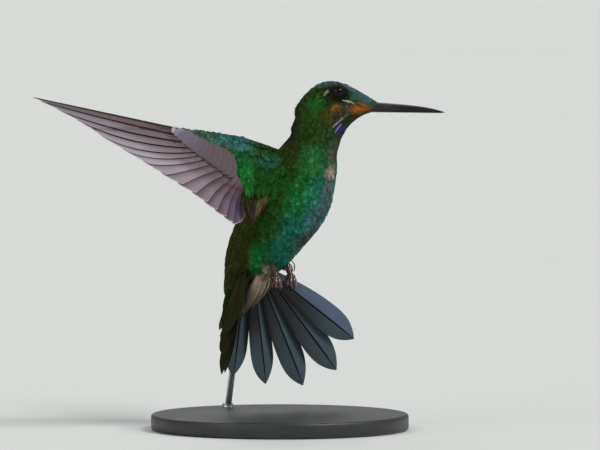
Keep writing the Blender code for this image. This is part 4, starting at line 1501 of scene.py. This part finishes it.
def tail_grid(index, side):
    """The middle surface of one tail feather."""
    spread, droop, vane_droop, length = TAIL_FEATHERS[side][index]
    pitch = math.radians(TAIL_PITCH)
    down = Vector((-math.sin(pitch), 0.0, -math.cos(pitch)))
    front = Vector((math.cos(pitch), 0.0, -math.sin(pitch)))
    angle = math.radians(spread - side * TAIL_SWING)
    aside = Vector((0.0, side, 0.0))
    slope = aside * math.cos(math.radians(droop)) + front * math.sin(math.radians(droop))
    direction = down * math.cos(angle) + slope * math.sin(angle)
    first = index == 0 and side > 0
    tuck = math.radians(vane_droop)
    lift = -1.0 if first else 0.22 * index * side
    vane_slope = aside * math.cos(tuck) + front * math.sin(tuck)
    across_way = (vane_slope - direction * vane_slope.dot(direction)).normalized()
    normal = direction.cross(across_way) * side
    normal = normal if normal.dot(front) > 0.0 else -normal
    root = Vector(TAIL_ROOT) + slope * (1.15 * (index + 0.5)) + front * lift
    rows, columns = 26, 13
    grid, across = np.zeros((rows, columns, 3)), np.zeros((rows, columns, 2))
    for row in range(rows):
        part = (row / (rows - 1)) ** 0.85
        half = tail_half_width(part)
        for column in range(columns):
            place = -1.0 + 2.0 * column / (columns - 1)
            dish = 0.35 * (half / TAIL_HALF_WIDTH) * (1.0 - abs(place) ** 1.5)
            bow = 0.8 * math.sin(math.pi * part)
            spot = root + direction * (length * part) + across_way * (place * half)
            grid[row, column] = spot + normal * (dish - 0.15 - bow * 0.25)
            across[row, column] = (0.5 - 0.5 * place, part)
    return grid, across


def tail_finish(tree):
    """Steel-blue underside, darker in the inner vane, with painted shade along its inner edge and at
    the root; bronze-black above.
    """
    across, along = tree.places()
    tone = tree.attribute("tone")
    under = tree.attribute("under")
    off = abs(across - 0.5) * 2.0
    outer = 1.0 - tree.rise(across, 0.46, 0.52)
    blue = chosen_colour("quills", "tail")
    inner = tree.mix(tree.rise(along, 0.35, 0.85), tint("323437"), tint("465257"))
    # Dark brown near the inner vane's edge: partly the vane's own colour, partly painted shade where
    # the next feather overlaps.
    brown = tree.rise(across, 0.8, 0.97) * tree.rise(along, 0.4, 0.8, 0.8, 0.0)
    inner = tree.mix(brown, inner, tint("2e251d"))
    colour = tree.mix(outer, inner, blue)
    colour = tree.mix(outer * tree.rise(tone, 0.8, 0.95), colour, tint("576376"))
    # Darker towards the root: partly the feather's own darker base, partly painted shade under the tail
    # coverts.
    colour = tree.mix(tree.rise(along, 0.05, 0.45, 0.6, 0.0), colour, tint("22211f"))
    colour = tree.mix(1.0 - tree.rise(off, 0.03, 0.09), colour, tint("0c0d10"))
    streaks = tree.wash(across * 22.0, along * 2.0, tone)
    above = tree.mix(tree.rise(along, 0.1, 0.9), tint("35331a"), tint("2b2a1a"))
    above = tree.mix(tree.rise(streaks, 0.42, 0.6, 0.0, 0.6), above, tint("16170c"))
    colour = tree.mix(tree.rise(under, 0.8, 1.0, 1.0, 0.0), colour, above)
    barbs, clump = tree.barbs(across, along, off, tone, (420.0, 60.0), (30.0, 5.0, 1.2))
    wash = tree.wash(across * 2.0, along * 3.0, tone)
    light = 0.72 + clump * 0.26 + barbs * 0.02 + wash * 0.35
    colour = tree.shaded(colour, light)
    bump = tree.bump(0.12, 0.05, barbs + clump)
    return {"Base Color": colour, "Roughness": 0.5 + clump * 0.15, "Normal": bump}


class BIRD_OT_tail(bpy.types.Operator):
    """The ten tail feathers"""
    bl_idname = "bird.tail"
    bl_label = "Tail feathers"

    def execute(self, context):
        finish = new_material("tail_vane", tail_finish, Specular_IOR_Level=0.0)
        pitch = math.radians(TAIL_PITCH)
        front = (math.cos(pitch), 0.0, -math.sin(pitch))
        shafts = []
        for side, name in SIDES:
            sheaf = Sheaf()
            nodes = []
            for index in range(len(TAIL_FEATHERS[side])):
                grid, across = tail_grid(index, side)
                sheaf.add_vane(grid, TAIL_THICKNESS, across, 0.25 * index, front)
                shafts.append((grid[:, grid.shape[1] // 2], TAIL_SHAFT_RADIUS))
                nodes.append("tail_feather_%s_%d" % (name, index + 1))
            finish_piece(sheaf.build("tail_%s_vanes" % name, finish), "tail_vanes", *nodes)
        make_shafts("tail_shafts", shafts, tint("0e0e10"), tint("1d1b1a"))
        return {"FINISHED"}


# ---- plumes --------------------------------------------------------------------------------

PLUME_THICKNESS, LINE_THICKNESS, LID_THICKNESS = 0.12, 0.07, 0.06


def plume_tone(number):
    """A share of light and dark for each plume, with neighbours unlike."""
    return (number * 0.37) % 1.0


def plume_grid(root, tip, face, width, bow, sink=0.9, rows=13, columns=7):
    """A loose leaf-shaped feather that bows towards its face, its root sunk under the coat."""
    run = Vector(tip) - Vector(root)
    face = Vector(face)
    face = (face - run * (face.dot(run) / run.length_squared)).normalized()
    aside = run.cross(face).normalized()
    grid, across = np.zeros((rows, columns, 3)), np.zeros((rows, columns, 2))
    for row in range(rows):
        part = row / (rows - 1)
        half = width * 0.5 * (0.25 + 0.75 * math.sin(math.pi * min(part * 0.8 + 0.06, 0.5)))
        half *= math.sqrt(max(1.0 - max((part - 0.55) / 0.46, 0.0) ** 2, 0.01))
        for column in range(columns):
            place = -1.0 + 2.0 * column / (columns - 1)
            dish = -0.16 * width * place * place
            stand = bow * math.sin(math.pi * part) + dish - sink * (1.0 - part) ** 3
            grid[row, column] = Vector(root) + run * part + face * stand + aside * (half * place)
            across[row, column] = (0.5 + 0.5 * place, part)
    return grid, across


def plume_finish(root_shade, tip_shade, edge_shade, edge_share, streak_share=0.0):
    """Makes the finish of loose feathers from their shades at root, tip and edge."""
    def finish(tree):
        across, along = tree.places()
        tone = tree.attribute("tone")
        off = abs(across - 0.5) * 2.0
        barbs, clump = tree.barbs(across, along, off, tone, (150.0, 40.0), (14.0, 5.0, 2.0))
        colour = tree.mix(tree.rise(along, 0.1, 0.8), tint(root_shade), tint(tip_shade))
        edge = tree.larger(tree.rise(along, 0.95, 0.99), tree.rise(off, 0.88, 0.97))
        colour = tree.mix(edge * edge_share, colour, tint(edge_shade))
        streak = tree.rise(clump, 0.5, 0.65, 0.0, 0.5) + (1.0 - tree.rise(off, 0.04, 0.2)) * 0.3
        colour = tree.mix(streak * streak_share, colour, tint(edge_shade))
        colour = tree.shaded(colour, 0.7 + clump * 0.4 + tone * 0.25 + barbs * 0.03)
        bump = tree.bump(0.2, 0.06, barbs + clump)
        return {"Base Color": colour, "Roughness": 0.6 + clump * 0.15, "Normal": bump}
    return finish


# Loose feathers on each side: name, number, roots and tips from first to last (forward,
# aside, up), the way the first and last face, width, bow, and the shades of the finish.
PLUMES = (
    ("axillary", 10, (3.8, 10.5, 75.2), (-1.3, 17.9, 75.4), (1.4, 12.6, 68.3), (0.8, 17.0, 65.6),
     (0.3, 1.0, 0.0), (0.84, 0.54, 0.0), 2.9, 0.5, ("1a2e14", "2a2018", "54463a", 0.3, 0.8)),
    ("arm_edge", 16, (5.2, 11.6, 77.4), (0.3, 18.0, 77.4), (4.6, 11.4, 73.2), (-0.1, 17.9, 72.7),
     (0.84, 0.54, 0.0), (0.84, 0.54, 0.0), 1.4, 0.3, None),
    ("axillary_fringe", 3, (4.3, 11.2, 75.0), (2.8, 12.4, 76.0), (1.8, 12.8, 70.0), (0.9, 15.4, 66.0),
     (0.3, 1.0, 0.0), (0.6, 0.8, 0.0), 2.2, 0.9, ("24341a", "46402a", "9a9068", 0.5, 0.4)),
    ("thigh", 6, (-1.8, 2.4, 52.6), (0.8, 5.6, 52.6), (-0.2, 2.8, 48.8), (1.5, 5.2, 49.0),
     (1.0, -0.3, 0.0), (0.9, 0.5, 0.0), 1.4, 0.5, ("3c342a", "50463a", "1c140e", 0.3, 0.6)),
    ("undertail", 9, (-4.8, 0.6, 48.0), (-4.6, 5.2, 47.6), (-12.4, 0.9, 36.6), (-9.6, 4.6, 41.4),
     (1.0, 0.0, 0.2), (0.8, 0.6, 0.2), 1.7, 0.7, ("c4ae9c", "7c7262", "4a4236", 0.4, 1.0)),
    ("uppertail", 7, (-17.8, 0.4, 43.0), (-15.6, 4.4, 43.0), (-20.4, 0.4, 31.0), (-18.8, 3.4, 32.5),
     (-1.0, 0.1, 0.0), (-0.6, 0.8, 0.0), 3.0, 0.2, ("303217", "353519", "1f1e10", 0.2)),
)

# Lines of small pale feathers on each side of the face: name, width, shades, and the
# places along the head (reach, height) that they run through, from the front backwards.
FACE_LINES = (
    ("malar_line", 0.26, ("776f74", "a49aa0", "5a5058", 0.3), (
        ((9.6, 97.7), (8.2, 96.6), (6.6, 95.1)), ((8.7, 95.9), (8.0, 95.1), (7.1, 93.8)))),
    ("cheek_line", 0.26, ("4c474a", "6c6468", "3c3638", 0.3), (
        ((11.3, 99.1), (10.4, 98.4), (9.3, 97.4)), ((11.6, 99.3), (11.1, 100.1), (10.7, 100.8)))),
    ("lores_line", 0.28, ("7c8884", "a8b2ae", "505854", 0.3), (
        ((12.9, 101.8), (12.0, 102.2), (11.2, 102.5)), ((11.7, 101.9), (10.8, 102.4), (10.0, 102.6)))),
    ("eye_spot", 0.5, ("655e4a", "857c62", "4a4434", 0.3), (
        ((5.5, 106.5), (4.9, 105.7), (4.3, 105.0)), ((5.3, 105.9), (4.7, 105.1), (4.1, 104.5)))),
)
FACE_FEATHER, FACE_STEP = 1.15, 0.42    # length of each feather, and from one to the next


class BIRD_OT_plumes(bpy.types.Operator):
    """Loose feathers under the wings and round the tail's root"""
    bl_idname = "bird.plumes"
    bl_label = "Plumes"

    def execute(self, context):
        for name, count, root_1, root_2, tip_1, tip_2, face_1, face_2, width, bow, shades in PLUMES:
            if shades:
                finish = new_material(name + "_plume", plume_finish(*shades), Specular_IOR_Level=0.0)
            else:
                finish = bpy.data.materials["small_feathers"]
            sheaf = Sheaf()
            for side in (1, -1):
                for number in range(count):
                    share = number / (count - 1)
                    ends = []
                    for first, second in ((root_1, root_2), (tip_1, tip_2), (face_1, face_2)):
                        x, y, z = Vector(first).lerp(Vector(second), share)
                        ends.append(Vector((x, y * side, z)))
                    ends[0].z += 0.5 * math.sin(2.9 * number)
                    ends[1].z += min(1.1, 0.45 * width) * math.sin(2.3 * number + side)
                    ends[1].x += 0.4 * math.sin(1.7 * number)
                    grid, across = plume_grid(*ends, width, bow)
                    sheaf.add_vane(grid, PLUME_THICKNESS, across, plume_tone(number), ends[2])
            plumes = sheaf.build(name + "_plumes", finish)
            set_attribute(plumes.data, "root", "FLOAT_VECTOR", coordinates(plumes.data))
            finish_piece(plumes, "body_plumage")
        return {"FINISHED"}


def on_face(skin, reach, height, side, stand):
    """A place over the skin of the head, reached from the side, and the way the skin faces."""
    start = head_point(reach, height, side * 15.0)
    inwards = head_way(0.0, -side)
    found, place, normal, _ = skin.ray_cast(start * MM, inwards)
    if not found:
        raise RuntimeError("no skin beside the face at %g, %g" % (reach, height))
    return place / MM + normal * stand, normal


# Rings of tiny feathers over the lids: where they start and end outside the opening of the
# eye, as rows of the rim and in mm, and how far they sweep back.
LID_ROWS = ((3, 0.75, 0.3), (6, 1.35, 0.6))
LID_FEATHERS = 44              # in each ring


def lid_feathers(skin):
    """Tiny feathers that lead from the rim of the lids into the coat of the face."""
    sheaf = Sheaf()
    forward = head_way(1.0)
    for side in (1, -1):
        rims = lid_ring(side)
        centre = Vector(rims[0].mean(0))
        outward = head_way(0.0, side).normalized()
        for order, (rim, length, sweep) in enumerate(LID_ROWS):
            for number in range(LID_FEATHERS):
                place = (number + 0.5 * order) / LID_FEATHERS * len(rims[rim])
                low, high = rims[rim][int(place)], rims[rim][(int(place) + 1) % len(rims[rim])]
                root = Vector(low).lerp(Vector(high), place % 1.0) + outward * 0.03
                swept = sweep * (0.8 + 0.4 * math.sin(2.7 * number))
                away = (root - centre).normalized() * length - forward * swept
                _, place, normal, _ = skin.closest_point_on_mesh((root + away) * MM)
                tip = place / MM + normal * 0.3
                grid, across = plume_grid(root, tip, outward, 0.42, 0.08, 0.0, 6, 5)
                sheaf.add_vane(grid, LID_THICKNESS, across, plume_tone(number), outward)
    rings = sheaf.build("lid_feathers", bpy.data.materials["small_feathers"])
    set_attribute(rings.data, "root", "FLOAT_VECTOR", coordinates(rings.data))
    finish_piece(rings, "head_plumage")


class BIRD_OT_face_lines(bpy.types.Operator):
    """Tiny feathers round the eyes, the pale lines of cheek and lores, and the spot behind the eye"""
    bl_idname = "bird.face_lines"
    bl_label = "Face lines"

    def execute(self, context):
        context.view_layer.update()
        skin = bpy.data.objects["skin"]
        lid_feathers(skin)
        for name, width, shades, lines in FACE_LINES:
            sheaf = Sheaf()
            for side in (1, -1):
                for line in lines:
                    knots = [Vector(place) for place in line]
                    count = round(sum((b - a).length for a, b in zip(knots, knots[1:])) / FACE_STEP)
                    pace = (len(knots) - 1) / count
                    for number in range(count):
                        start = number * pace
                        reach = FACE_FEATHER / FACE_STEP * pace
                        root, _ = on_face(skin, *through(knots, start), side, 0.25)
                        tip, face = on_face(skin, *through(knots, start + reach), side, 0.62)
                        tip.z += 0.12 * math.sin(2.4 * number + side)
                        grid, across = plume_grid(root, tip, face, width, 0.08, 0.1, 7, 5)
                        sheaf.add_vane(grid, LINE_THICKNESS, across, plume_tone(number), face)
            finish = new_material(name + "_feather", plume_finish(*shades), Specular_IOR_Level=0.0)
            finish_piece(sheaf.build(name + "_feathers", finish), "head_plumage")
        return {"FINISHED"}


# ---- bill ---------------------------------------------------------------------------------

def bill_grid(upper, share):
    """One jaw as a closed, tapering half-round bar."""
    grid = []
    for row in range(BILL_ROWS):
        part = -0.2 + (share + 0.2) * row / (BILL_ROWS - 1)
        flare = 1.0 + 6.0 * min(part, 0.0) ** 2
        depth = BILL_DEPTH * (1.0 - 0.45 * part - 0.5 * part ** 4.0)
        width = BILL_WIDTH * 0.5 * (1.0 - 0.52 * part - 0.4 * part ** 4.0)
        under = BILL_BASE_HEIGHT + (BILL_TIP_HEIGHT - BILL_BASE_HEIGHT) * part
        gape = under + depth * BILL_GAPE
        reach = BILL_START + (BILL_TIP - BILL_START) * part
        rise = depth * (1.0 - BILL_GAPE) if upper else -depth * BILL_GAPE
        level = gape + (0.03 if upper else -0.03)
        end = share - part
        rise *= min(1.0, (end / 0.04) ** 0.5) if end < 0.04 else 1.0
        ring = []
        for step in range(BILL_SIDES):
            angle = FULL_TURN * step / BILL_SIDES
            high = max(math.sin(angle), 0.0) ** 0.9
            tuck = 0.06 * min(math.sin(angle), 0.0)
            nostril = 0.0
            if upper:
                groove = math.exp(-((part - 0.07) / 0.06) ** 2 - ((high - 0.42) / 0.2) ** 2)
                nostril = 0.3 * groove
            wide = width * flare * math.cos(angle) * (1.0 - nostril)
            ring.append(head_point(reach, level + rise * (high + tuck), wide))
        grid.append(ring)
    return np.array(grid)


def bill_finish(tree):
    """Black horn with a soft gloss, a painted bluish sheen along the top of the upper jaw, faint
    streaks and a browner root.
    """
    place = here(tree)
    across, along = tree.places()
    streak = tree.noise(tree.join(along * 6.0, across * 60.0, 0.0), 1.0, 4.0)
    grain = tree.noise(place, 2600.0, 3.0)
    colour = tree.mix(streak, tint("100f0d"), tint("1e1c18"))
    # Where along the top of the jaw the painted bluish sheen lies.
    ridge_sheen = 1.0 - tree.rise(abs(across - 0.25), 0.04, 0.2)
    colour = tree.mix(tree.rise(along, 0.15, 0.45, 0.8, 0.0), colour, tint("33272c"))
    # A bluish band along the top of the upper jaw: painted sheen.
    colour = tree.mix(ridge_sheen * tree.attribute("tone"), colour, tint("465068"))
    bump = tree.bump(0.25, 0.06, streak * 0.7 + grain * 0.3)
    return {"Base Color": colour, "Roughness": 0.3 + grain * 0.16, "Normal": bump}


class BIRD_OT_bill(bpy.types.Operator):
    """Upper and lower jaw"""
    bl_idname = "bird.bill"
    bl_label = "Bill"

    def execute(self, context):
        horn = new_material("bill_horn", bill_finish, Specular_IOR_Level=0.3)
        for node, upper, share in (("bill_upper", True, 1.0), ("bill_lower", False, 0.97)):
            jaw = Sheaf()
            grid = bill_grid(upper, share)
            rows, sides = grid.shape[:2]
            across = lattice(np.linspace(0.0, 1.0, sides), np.linspace(0.0, 1.0, rows))
            # How much painted bluish sheen the jaw carries along its top.
            ridge_shine = 0.8 if upper else 0.0
            start = jaw.add_grid(grid, across, ridge_shine, 0.0, closed=True, flip=not upper)
            jaw.add_caps(start, rows, sides, flip=not upper)
            finish_piece(jaw.build(node + "_horn", horn), "bill_horn", node)
        return {"FINISHED"}


# ---- eyes ---------------------------------------------------------------------------------

def eye_finish(tree):
    """Near-black eye: a pupil that melts into a very dark brown iris, under a wet surface."""
    across, along = tree.places()
    fibres = tree.noise(tree.join(across * 90.0, along * 4.0, 0.0), 1.0, 3.0)
    iris = tree.mix(fibres, tint("110b10"), tint("281a1c"))
    colour = tree.mix(tree.rise(along, 0.2, 0.24), tint("07060f"), iris)
    colour = tree.mix(tree.rise(along, 0.42, 0.5), colour, tint("0a0806"))
    return {"Base Color": colour}


class BIRD_OT_eyes(bpy.types.Operator):
    """Both eyes, each with a bulging cornea"""
    bl_idname = "bird.eyes"
    bl_label = "Eyes"

    def execute(self, context):
        wet = new_material("eye_gloss", eye_finish, Roughness=0.08, Specular_IOR_Level=0.06,
                           Coat_Weight=0.25, Coat_Roughness=0.02)
        for side, name in SIDES:
            centre = np.array(head_point(EYE_REACH, EYE_HEIGHT, side * EYE_APART))
            outward = np.array(eye_way(side))
            first = unit(np.cross(outward, (0.0, 0.0, 1.0)))
            second = np.cross(outward, first)
            rows, sides = EYE_ROWS, EYE_SIDES
            tilt = np.linspace(0.004, 1.0, rows) * math.pi * 0.995
            radius = EYE_RADIUS + CORNEA_HEIGHT * np.exp(-(tilt / CORNEA_SPREAD) ** 2)
            angles = round_angles(sides)
            ring = first * np.cos(angles)[:, None] + second * np.sin(angles)[:, None]
            grid = centre + (outward * (np.cos(tilt) * radius)[:, None])[:, None]
            grid = grid + ring[None] * (np.sin(tilt) * radius)[:, None, None]
            ball = Sheaf()
            across = lattice(angles / FULL_TURN, tilt / math.pi)
            ball.add_caps(ball.add_grid(grid, across, 0.5, 0.0, closed=True), rows, sides)
            finish_piece(ball.build("eyeball_" + name, wet), "eye_gloss", "eye_" + name)
        return {"FINISHED"}


# ---- feet ---------------------------------------------------------------------------------

def toe_points(joint, angle, steps):
    """A toe that reaches out from the joint and curls under to its claw."""
    turn = math.radians(angle)
    forward = Vector((math.cos(turn), math.sin(turn), 0.0))
    points = [joint]
    for step in range(steps):
        dip = math.radians(TOE_PITCH + TOE_CURL * step / (steps - 1))
        stride = forward * math.cos(dip) - Vector((0.0, 0.0, math.sin(dip)))
        points.append(points[-1] + stride * (TOE_LENGTH / steps))
    return points


def foot_finish(tree):
    """Brown scaly skin: plates along the toes, paler at their edges, partly as real seams and partly as
    painted highlight.
    """
    _, along = tree.places()
    grain = tree.noise(here(tree), 2200.0, 4.0)
    plate = tree.add("ShaderNodeMath", {"operation": "FRACT"}, {0: along * 11.0 + grain * 0.25})
    seam_and_glint = tree.rise(abs(plate - 0.5), 0.4, 0.5)
    colour = tree.mix(grain, tint("260c04"), tint("5a2610"))
    # Paler seams: partly the real seams' colour, partly painted highlight standing in for wet glints.
    colour = tree.mix(seam_and_glint * 0.25, colour, tint("b8a08c"))
    bump = tree.bump(0.6, 0.1, grain * 0.4 - seam_and_glint * 0.8)
    return {"Base Color": colour, "Roughness": 0.24 + grain * 0.2, "Normal": bump}


def claw_finish(tree):
    """Dark horn, paler at the point."""
    _, along = tree.places()
    colour = tree.mix(tree.rise(along, 0.4, 1.0), tint("17120e"), tint("3b2e24"))
    return {"Base Color": colour, "Roughness": 0.22 + tree.noise(here(tree), 900.0) * 0.15}


class BIRD_OT_feet(bpy.types.Operator):
    """Shanks, toes and claws"""
    bl_idname = "bird.feet"
    bl_label = "Feet"

    def execute(self, context):
        scaly = new_material("foot_skin", foot_finish, Coat_Weight=1.0, Coat_Roughness=0.1)
        horn = new_material("claw_horn", claw_finish)
        for side, name in SIDES:
            top = Vector((LEG_TOP[0], side * LEG_TOP[1], LEG_TOP[2]))
            ankle = Vector((LEG_ANKLE[0], side * LEG_ANKLE[1], LEG_ANKLE[2]))
            joint = ankle + (ankle - top).normalized() * (0.3 + JOINT_RADIUS)
            shank = Sheaf()
            shares = [step / SHANK_STEPS for step in range(SHANK_STEPS + 1)]
            line = [top.lerp(joint, share) for share in shares]
            radii = [SHANK_RADIUS + 0.05 * math.cos(step * 2.1) + 0.16 * share ** 3
                     for step, share in enumerate(shares)]
            shank.add_tube(line, radii, LEG_SIDES)
            finish_piece(shank.build("shank_" + name, scaly), "foot_skin", "leg_" + name)
            toes, claws = Sheaf(), Sheaf()
            pad = [joint + Vector((0, 0, 0.66 - 0.12 * step)) for step in range(12)]
            radii = [PAD_RADIUS * math.sin(math.pi * (step + 0.6) / 12.2) for step in range(12)]
            toes.add_tube(pad, radii, LEG_SIDES)
            for angle in TOE_ANGLES:
                line = toe_points(joint, angle, TOE_STEPS)
                radii = []
                for step in range(TOE_FLESH + 1):
                    ripple = 1.0 + 0.12 * math.cos(step * math.pi / 3.0)
                    radii.append(TOE_RADIUS * (1.0 - 0.25 * step / TOE_FLESH) * ripple)
                radii[-1] = 0.36
                toes.add_tube(line[:TOE_FLESH + 1], radii, LEG_SIDES)
                nail = line[TOE_FLESH - 1:]
                end = len(nail) - 0.7
                radii = [CLAW_RADIUS * (1.0 - step / end) ** 0.75 for step in range(len(nail))]
                claws.add_tube(nail, radii, 10)
            finish_piece(toes.build("toes_" + name, scaly), "foot_skin", "foot_" + name)
            finish_piece(claws.build("claws_" + name, horn), "foot_skin")
        return {"FINISHED"}


# ---- stand --------------------------------------------------------------------------------

def lathed(name, profile, sides, material):
    """A closed turned shape from (radius, height) pairs, bottom to top."""
    turned_part = Sheaf()
    angles = round_angles(sides)
    circle = np.stack((np.cos(angles), np.sin(angles)), -1)
    grid = np.array([[(r * c, r * s, z) for c, s in circle] for r, z in profile])
    across = lattice(angles / FULL_TURN, np.linspace(0.0, 1.0, len(profile)))
    start = turned_part.add_grid(grid, across, 0.5, 0.0, closed=True)
    turned_part.add_caps(start, len(profile), sides)
    return turned_part.build(name, material)


def paint_finish(tree):
    """Satin paint with a fine orange-peel, and rubbed a little paler in places."""
    place = here(tree)
    base = chosen_colour("stand", "base")
    wear = tree.noise(place, 60.0, 5.0)
    colour = tree.mix(tree.rise(wear, 0.45, 0.8), base, tint("3d3e40"))
    peel = tree.noise(place, 1400.0, 2.0)
    bump = tree.bump(0.12, 0.05, peel)
    return {"Base Color": colour, "Roughness": 0.34 + wear * 0.2, "Normal": bump}


def steel_finish(tree):
    """Brushed steel, its fine lines running round the rod."""
    _, _, z = tree.split(here(tree))
    lines = tree.noise(tree.join(0.0, 0.0, z * 9000.0), 1.0, 3.0)
    bump = tree.bump(0.1, 0.02, lines)
    return {"Base Color": tree.mix(lines, tint("8f9294"), tint("c4c7c9")),
            "Roughness": 0.26 + lines * 0.16, "Normal": bump}


class BIRD_OT_stand(bpy.types.Operator):
    """The flat base and the rod up to the rump"""
    bl_idname = "bird.stand"
    bl_label = "Stand"

    def execute(self, context):
        round_ = chosen("stand").edge / MM
        arc = [math.radians(a) for a in range(0, 91, 15)]
        profile = [(BASE_RADIUS - 1.2, 0.0), (BASE_RADIUS - 0.5, 0.12), (BASE_RADIUS, 0.6)]
        inner, lower = BASE_RADIUS - round_, BASE_HEIGHT - round_
        profile += [(inner + round_ * math.cos(a), lower + round_ * math.sin(a)) for a in arc]
        profile += [(BASE_RADIUS - 2.2, BASE_HEIGHT), (10.0, BASE_HEIGHT), (0.5, BASE_HEIGHT)]
        paint = new_material("stand_paint", paint_finish)
        base = lathed("stand_base_plate", profile, BASE_SIDES, paint)
        finish_piece(base, "base_paint", "stand_base")
        rod = Sheaf()
        foot, top = Vector(ROD_FOOT), Vector(ROD_HEAD)
        line = [foot.lerp(top, step / ROD_STEPS) for step in range(ROD_STEPS + 1)]
        rod.add_tube(line, [ROD_RADIUS] * len(line), ROD_SIDES)
        way = (top - foot).normalized()
        seat = foot + way * ((BASE_HEIGHT - foot.z) / way.z)
        collar = [seat + way * height for height, _ in COLLAR]
        rod.add_tube(collar, [radius for _, radius in COLLAR], ROD_SIDES)
        finish_piece(rod.build("stand_rod_bar", new_material("rod_steel", steel_finish, Metallic=1.0)),
                     "rod_steel", "stand_rod")
        return {"FINISHED"}


# ---- stage --------------------------------------------------------------------------------

VIEW_AZIMUTH, VIEW_ELEVATION = 35.0, 3.0
VIEW_AIM = (5.1, 3.6, 63.6)
VIEW_WIDTH = 0.186             # of the picture, at the bird
FLOOR_RADIUS = 14.0            # in metres
SKY_COLOUR, SKY_STRENGTH = (0.94, 0.97, 1.0, 1.0), 0.32
# Lamps: degrees round from the view, height and width in degrees, share of the main strength.
LAMPS = (
    ("key", 54.0, 46.0, 19.0, 0.9), ("glint", 72.0, 24.0, 5.0, 0.12),
    ("fill", -50.0, 25.0, 50.0, 0.35), ("back", 190.0, 45.0, 40.0, 0.3),
)


def way_out(azimuth, elevation):
    """The way from the bird to a lamp or camera."""
    a, e = math.radians(azimuth), math.radians(elevation)
    return Vector((math.sin(a) * math.cos(e), -math.cos(a) * math.cos(e), math.sin(e)))


def facing(thing, target):
    """Turn a lamp or camera to look at a place."""
    thing.rotation_euler = (Vector(target) - thing.location).to_track_quat("-Z", "Y").to_euler()


def floor_finish(tree):
    """Pale matt floor, very slightly mottled."""
    base = chosen_colour("stage", "floor")
    mottle = tree.noise(here(tree), 3.0, 4.0)
    return {"Base Color": tree.mix(mottle * 0.12, base, tint("c6cbc0")), "Roughness": 0.85}


class BIRD_OT_stage(bpy.types.Operator):
    """Floor, soft light and camera"""
    bl_idname = "bird.stage"
    bl_label = "Stage"

    def add_light(self, name, azimuth, elevation, spread, power):
        """A light that shines evenly from one side; spread is its width in degrees."""
        lamp = bpy.data.lights.new(name, "SUN")
        lamp.angle = math.radians(spread)
        lamp.energy = power
        thing = link(name, lamp)
        thing.location = way_out(azimuth, elevation)
        facing(thing, (0.0, 0.0, 0.0))

    def execute(self, context):
        scene = context.scene
        bm = bmesh.new()
        bmesh.ops.create_circle(bm, cap_ends=True, segments=96, radius=FLOOR_RADIUS)
        mesh = bpy.data.meshes.new("floor")
        bm.to_mesh(mesh)
        bm.free()
        link("floor", mesh, new_material("floor_matt", floor_finish))
        world = bpy.data.worlds.new("studio")
        world.use_nodes = True
        sky = world.node_tree.nodes["Background"].inputs
        sky["Color"].default_value = SKY_COLOUR
        sky["Strength"].default_value = SKY_STRENGTH
        scene.world = world
        for name, azimuth, elevation, spread, share in LAMPS:
            power = chosen("stage").light * share
            self.add_light(name, VIEW_AZIMUTH + azimuth, elevation, spread, power)
        camera = bpy.data.cameras.new("camera")
        camera.sensor_width = 36.0
        distance = chosen("stage").distance
        camera.lens = camera.sensor_width * distance / VIEW_WIDTH
        camera.clip_end = 100.0
        view = link("camera", camera)
        aim = Vector(VIEW_AIM) * MM
        view.location = aim + way_out(VIEW_AZIMUTH, VIEW_ELEVATION) * distance
        facing(view, aim)
        scene.camera = view
        scene.view_settings.view_transform = "Standard"
        return {"FINISHED"}


# ---- panel and start ----------------------------------------------------------------------

OPERATORS = (
    BIRD_OT_skin, BIRD_OT_coat, BIRD_OT_wings, BIRD_OT_tail, BIRD_OT_plumes, BIRD_OT_face_lines,
    BIRD_OT_bill, BIRD_OT_eyes, BIRD_OT_feet, BIRD_OT_stand, BIRD_OT_stage,
)


class BIRD_PT_panel(bpy.types.Panel):
    """Everything that makes up the model, in order"""
    bl_idname = "BIRD_PT_panel"
    bl_label = "Hummingbird"
    bl_space_type = "VIEW_3D"
    bl_region_type = "UI"
    bl_category = "Hummingbird"

    def draw(self, context):
        for operator in OPERATORS:
            self.layout.operator(operator.bl_idname)
        for name in SETTINGS:
            group = getattr(context.scene, "bird_" + name)
            box = self.layout.box()
            for key in group.__annotations__:
                box.prop(group, key)


SETTINGS = {
    "plumage": PlumageSettings, "quills": QuillSettings, "stand": StandSettings, "stage": StageSettings,
}
CLASSES = (*SETTINGS.values(), *OPERATORS, BIRD_PT_panel)


def register():
    for item in CLASSES:
        bpy.utils.register_class(item)
    for name, group in SETTINGS.items():
        setattr(bpy.types.Scene, "bird_" + name, PointerProperty(type=group))


def unregister():
    for name in SETTINGS:
        delattr(bpy.types.Scene, "bird_" + name)
    for item in reversed(CLASSES):
        bpy.utils.unregister_class(item)


def corners(box):
    """A box as plain lists."""
    return [list(corner) for corner in box]


def main():
    register()
    bpy.ops.bird.skin()
    bpy.ops.bird.coat()
    bpy.ops.bird.wings()
    bpy.ops.bird.tail()
    bpy.ops.bird.plumes()
    bpy.ops.bird.face_lines()
    bpy.ops.bird.bill()
    bpy.ops.bird.eyes()
    bpy.ops.bird.feet()
    bpy.ops.bird.stand()
    bpy.ops.bird.stage()


if __name__ == "__main__":
    main()
